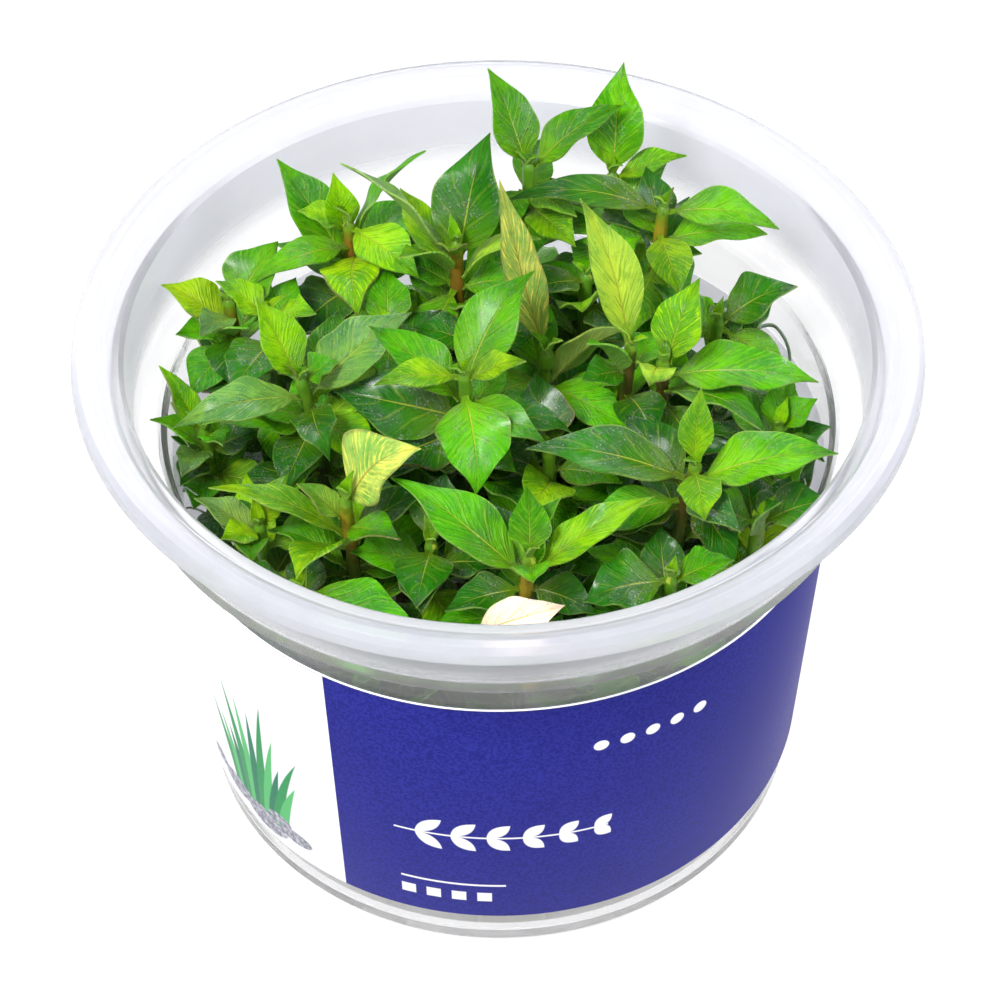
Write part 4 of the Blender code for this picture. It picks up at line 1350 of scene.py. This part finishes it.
def settleLeaves():
    # every leaf that finds room, with its shoot and its place: those of the solids, then the scene's own
    chance = random.Random(plant["seed"])
    stems = {shoot.name: bodyTree(stemRings(shoot)) for shoot in shoots}
    blades = []
    loose = settle("loose", Vector(looseLeafBase), looseLeaf, stems, blades)
    listed = [(shoot, leaf) for shoot in shoots for leaf in shoot.leaves]
    listed += [(shoot, leaf) for shoot in shoots for leaf in lowLeaves(shoot, chance)]
    grown = []
    for shoot, leaf in listed:
        base = socket(shoot, leaf)
        grown.append((shoot, base, settle(shoot.name, base, leaf, stems, blades)))
    more = random.Random(filling["seed"])
    spare = [(shoot, leaf) for shoot in shoots for leaf in spareLeaves.get(shoot.name, ())]
    spare += [(shoot, leaf) for shoot in shoots for leaf in fillLeaves(shoot, more)]
    for shoot, leaf in spare:
        base = socket(shoot, leaf)
        tip = base + leafAxes(leaf)[0] * leaf.length
        if math.hypot(tip.x, tip.y) < filling["reach"]:
            found = settle(shoot.name, base, leaf, stems, blades, filling["scales"], filling["turnStep"])
            grown.append((shoot, base, found))
    placed = [entry for entry in grown if entry[2]]
    print("leaves settled:", len(placed), "of", len(grown))
    return placed, loose


def makeShoots(grown, pattern, finishes, chance):
    for shoot in shoots:
        bm = newPlant()
        growStem(bm, shoot)
        placed = growStrands(bm, shoot)
        stemFaces = len(bm.faces)
        marks = []
        leaves = budLeaves(shoot, chance)
        leaves += [(base, leaf) for owner, base, leaf in grown if owner is shoot and not leaf.name]
        for base, leaf in leaves:
            placed.append(addBlade(bm, base, leaf, pattern, chance, marks))
        paint(bm, placed, marks, shoot)
        bm.faces.ensure_lookup_table()
        for face in bm.faces[:stemFaces]:
            face.material_index = 1
        finishPlant(shoot.name + "_grown", bm, finishes, shoot.name)
    print("shoots made")


def makeNamedLeaves(named, pattern, finish, chance):
    for base, leaf in named:
        bm = newPlant()
        marks = []
        shown = leaf._replace(**leafLooks.get(leaf.name, {}))
        placed = [addBlade(bm, base, shown, pattern, chance, marks)]
        paint(bm, placed, marks)
        finishPlant(leaf.name + "_blade", bm, [finish], leaf.name)
    print("named leaves made")


def makePlants():
    grown, loose = settleLeaves()
    pattern = {name: bladePattern("blade_" + name, blade[name]) for name in ("fine", "small")}
    chance = random.Random(plant["lookSeed"])
    finishes = [leafFinish(), stemFinish()]
    makeShoots(grown, pattern, finishes, chance)
    named = [(base, leaf) for _, base, leaf in grown if leaf.name]
    named.append((Vector(looseLeafBase), loose))
    makeNamedLeaves(named, pattern, finishes[0], chance)
    for mesh in pattern.values():
        bpy.data.meshes.remove(mesh)


# Floor, light and camera. The camera stands where the photograph was taken from.

view = {"pitch": 47.0, "distance": 0.400, "focalPixels": 3140.8, "lookHeight": 0.0417,
        "centrePixel": (498.8, 500.0), "frame": 1000, "roll": -0.36, "sensor": 36.0}


def makeCamera():
    data = bpy.data.cameras.new("camera")
    data.sensor_width = view["sensor"]
    data.lens = view["focalPixels"] * view["sensor"] / view["frame"]
    data.shift_x = (view["frame"] / 2 - view["centrePixel"][0]) / view["frame"]
    data.shift_y = (view["centrePixel"][1] - view["frame"] / 2) / view["frame"]
    data.clip_start = 0.01
    camera = addObject("camera", data)
    pitch, roll = math.radians(view["pitch"]), math.radians(view["roll"])
    turn = Matrix.Rotation(math.pi / 2 - pitch, 4, "X") @ Matrix.Rotation(roll, 4, "Z")
    back = Vector((0, -math.cos(pitch), math.sin(pitch))) * view["distance"]
    spot = back + Vector((0, 0, view["lookHeight"]))
    camera.matrix_world = Matrix.Translation(spot) @ turn
    bpy.context.scene.camera = camera


floorLook = {  # a lit table, in metres
    "radius": 1.6, "sunk": 0.0002, "turns": 64, "glow": 0.94,
    "pale": (0.12, 0.12, 0.12), "dull": (0.11, 0.11, 0.115),
}


def makeFloor():
    bm = bmesh.new()
    low = Matrix.Translation((0, 0, -floorLook["sunk"]))
    turns, radius = floorLook["turns"], floorLook["radius"]
    bmesh.ops.create_circle(bm, cap_ends=True, segments=turns, radius=radius, matrix=low)
    mesh = bpy.data.meshes.new("floor")
    bm.to_mesh(mesh)
    bm.free()
    f = Finish("floor_pale")
    grain = f.noise(f.place(), 300, 2.0)
    mesh.materials.append(f.shade({
        "Base Color": f.mix(grain * 0.15, floorLook["pale"], floorLook["dull"]),
        "Roughness": 0.7,
        "Specular IOR Level": 0.1,
        "Emission Color": (1.0, 1.0, 1.0, 1.0),
        "Emission Strength": floorLook["glow"],
    }))
    addObject("floor", mesh)


lights = {  # in metres and watts: where each softbox stands, how wide it is and how strong
    "softbox_front": ((-0.3, -0.35, 0.7), 0.25, 5.4),
    "softbox_right": ((0.65, -0.2, 0.45), 0.35, 1.8),
    "softbox_behind": ((0.0, 0.6, 0.65), 0.35, 1.8),
}
lightAim = (0, 0, 0.05)
skyStrength = 0.52


def makeLights():
    for name, (spot, size, power) in lights.items():
        data = bpy.data.lights.new(name, "AREA")
        data.shape = "DISK"
        data.size = size
        data.energy = power
        toward = (Vector(lightAim) - Vector(spot)).to_track_quat("-Z", "Y")
        addObject(name, data).matrix_world = Matrix.Translation(spot) @ toward.to_matrix().to_4x4()
    world = bpy.data.worlds.new("studio")
    world.use_nodes = True
    sky = world.node_tree.nodes["Background"].inputs
    sky["Color"].default_value = (1, 1, 1, 1)
    sky["Strength"].default_value = skyStrength
    bpy.context.scene.world = world
    bpy.context.scene.view_settings.view_transform = "Standard"


makeCamera()
makeFloor()
makeLights()
makeCup()
makeLabel()
makeGel()
makePlants()
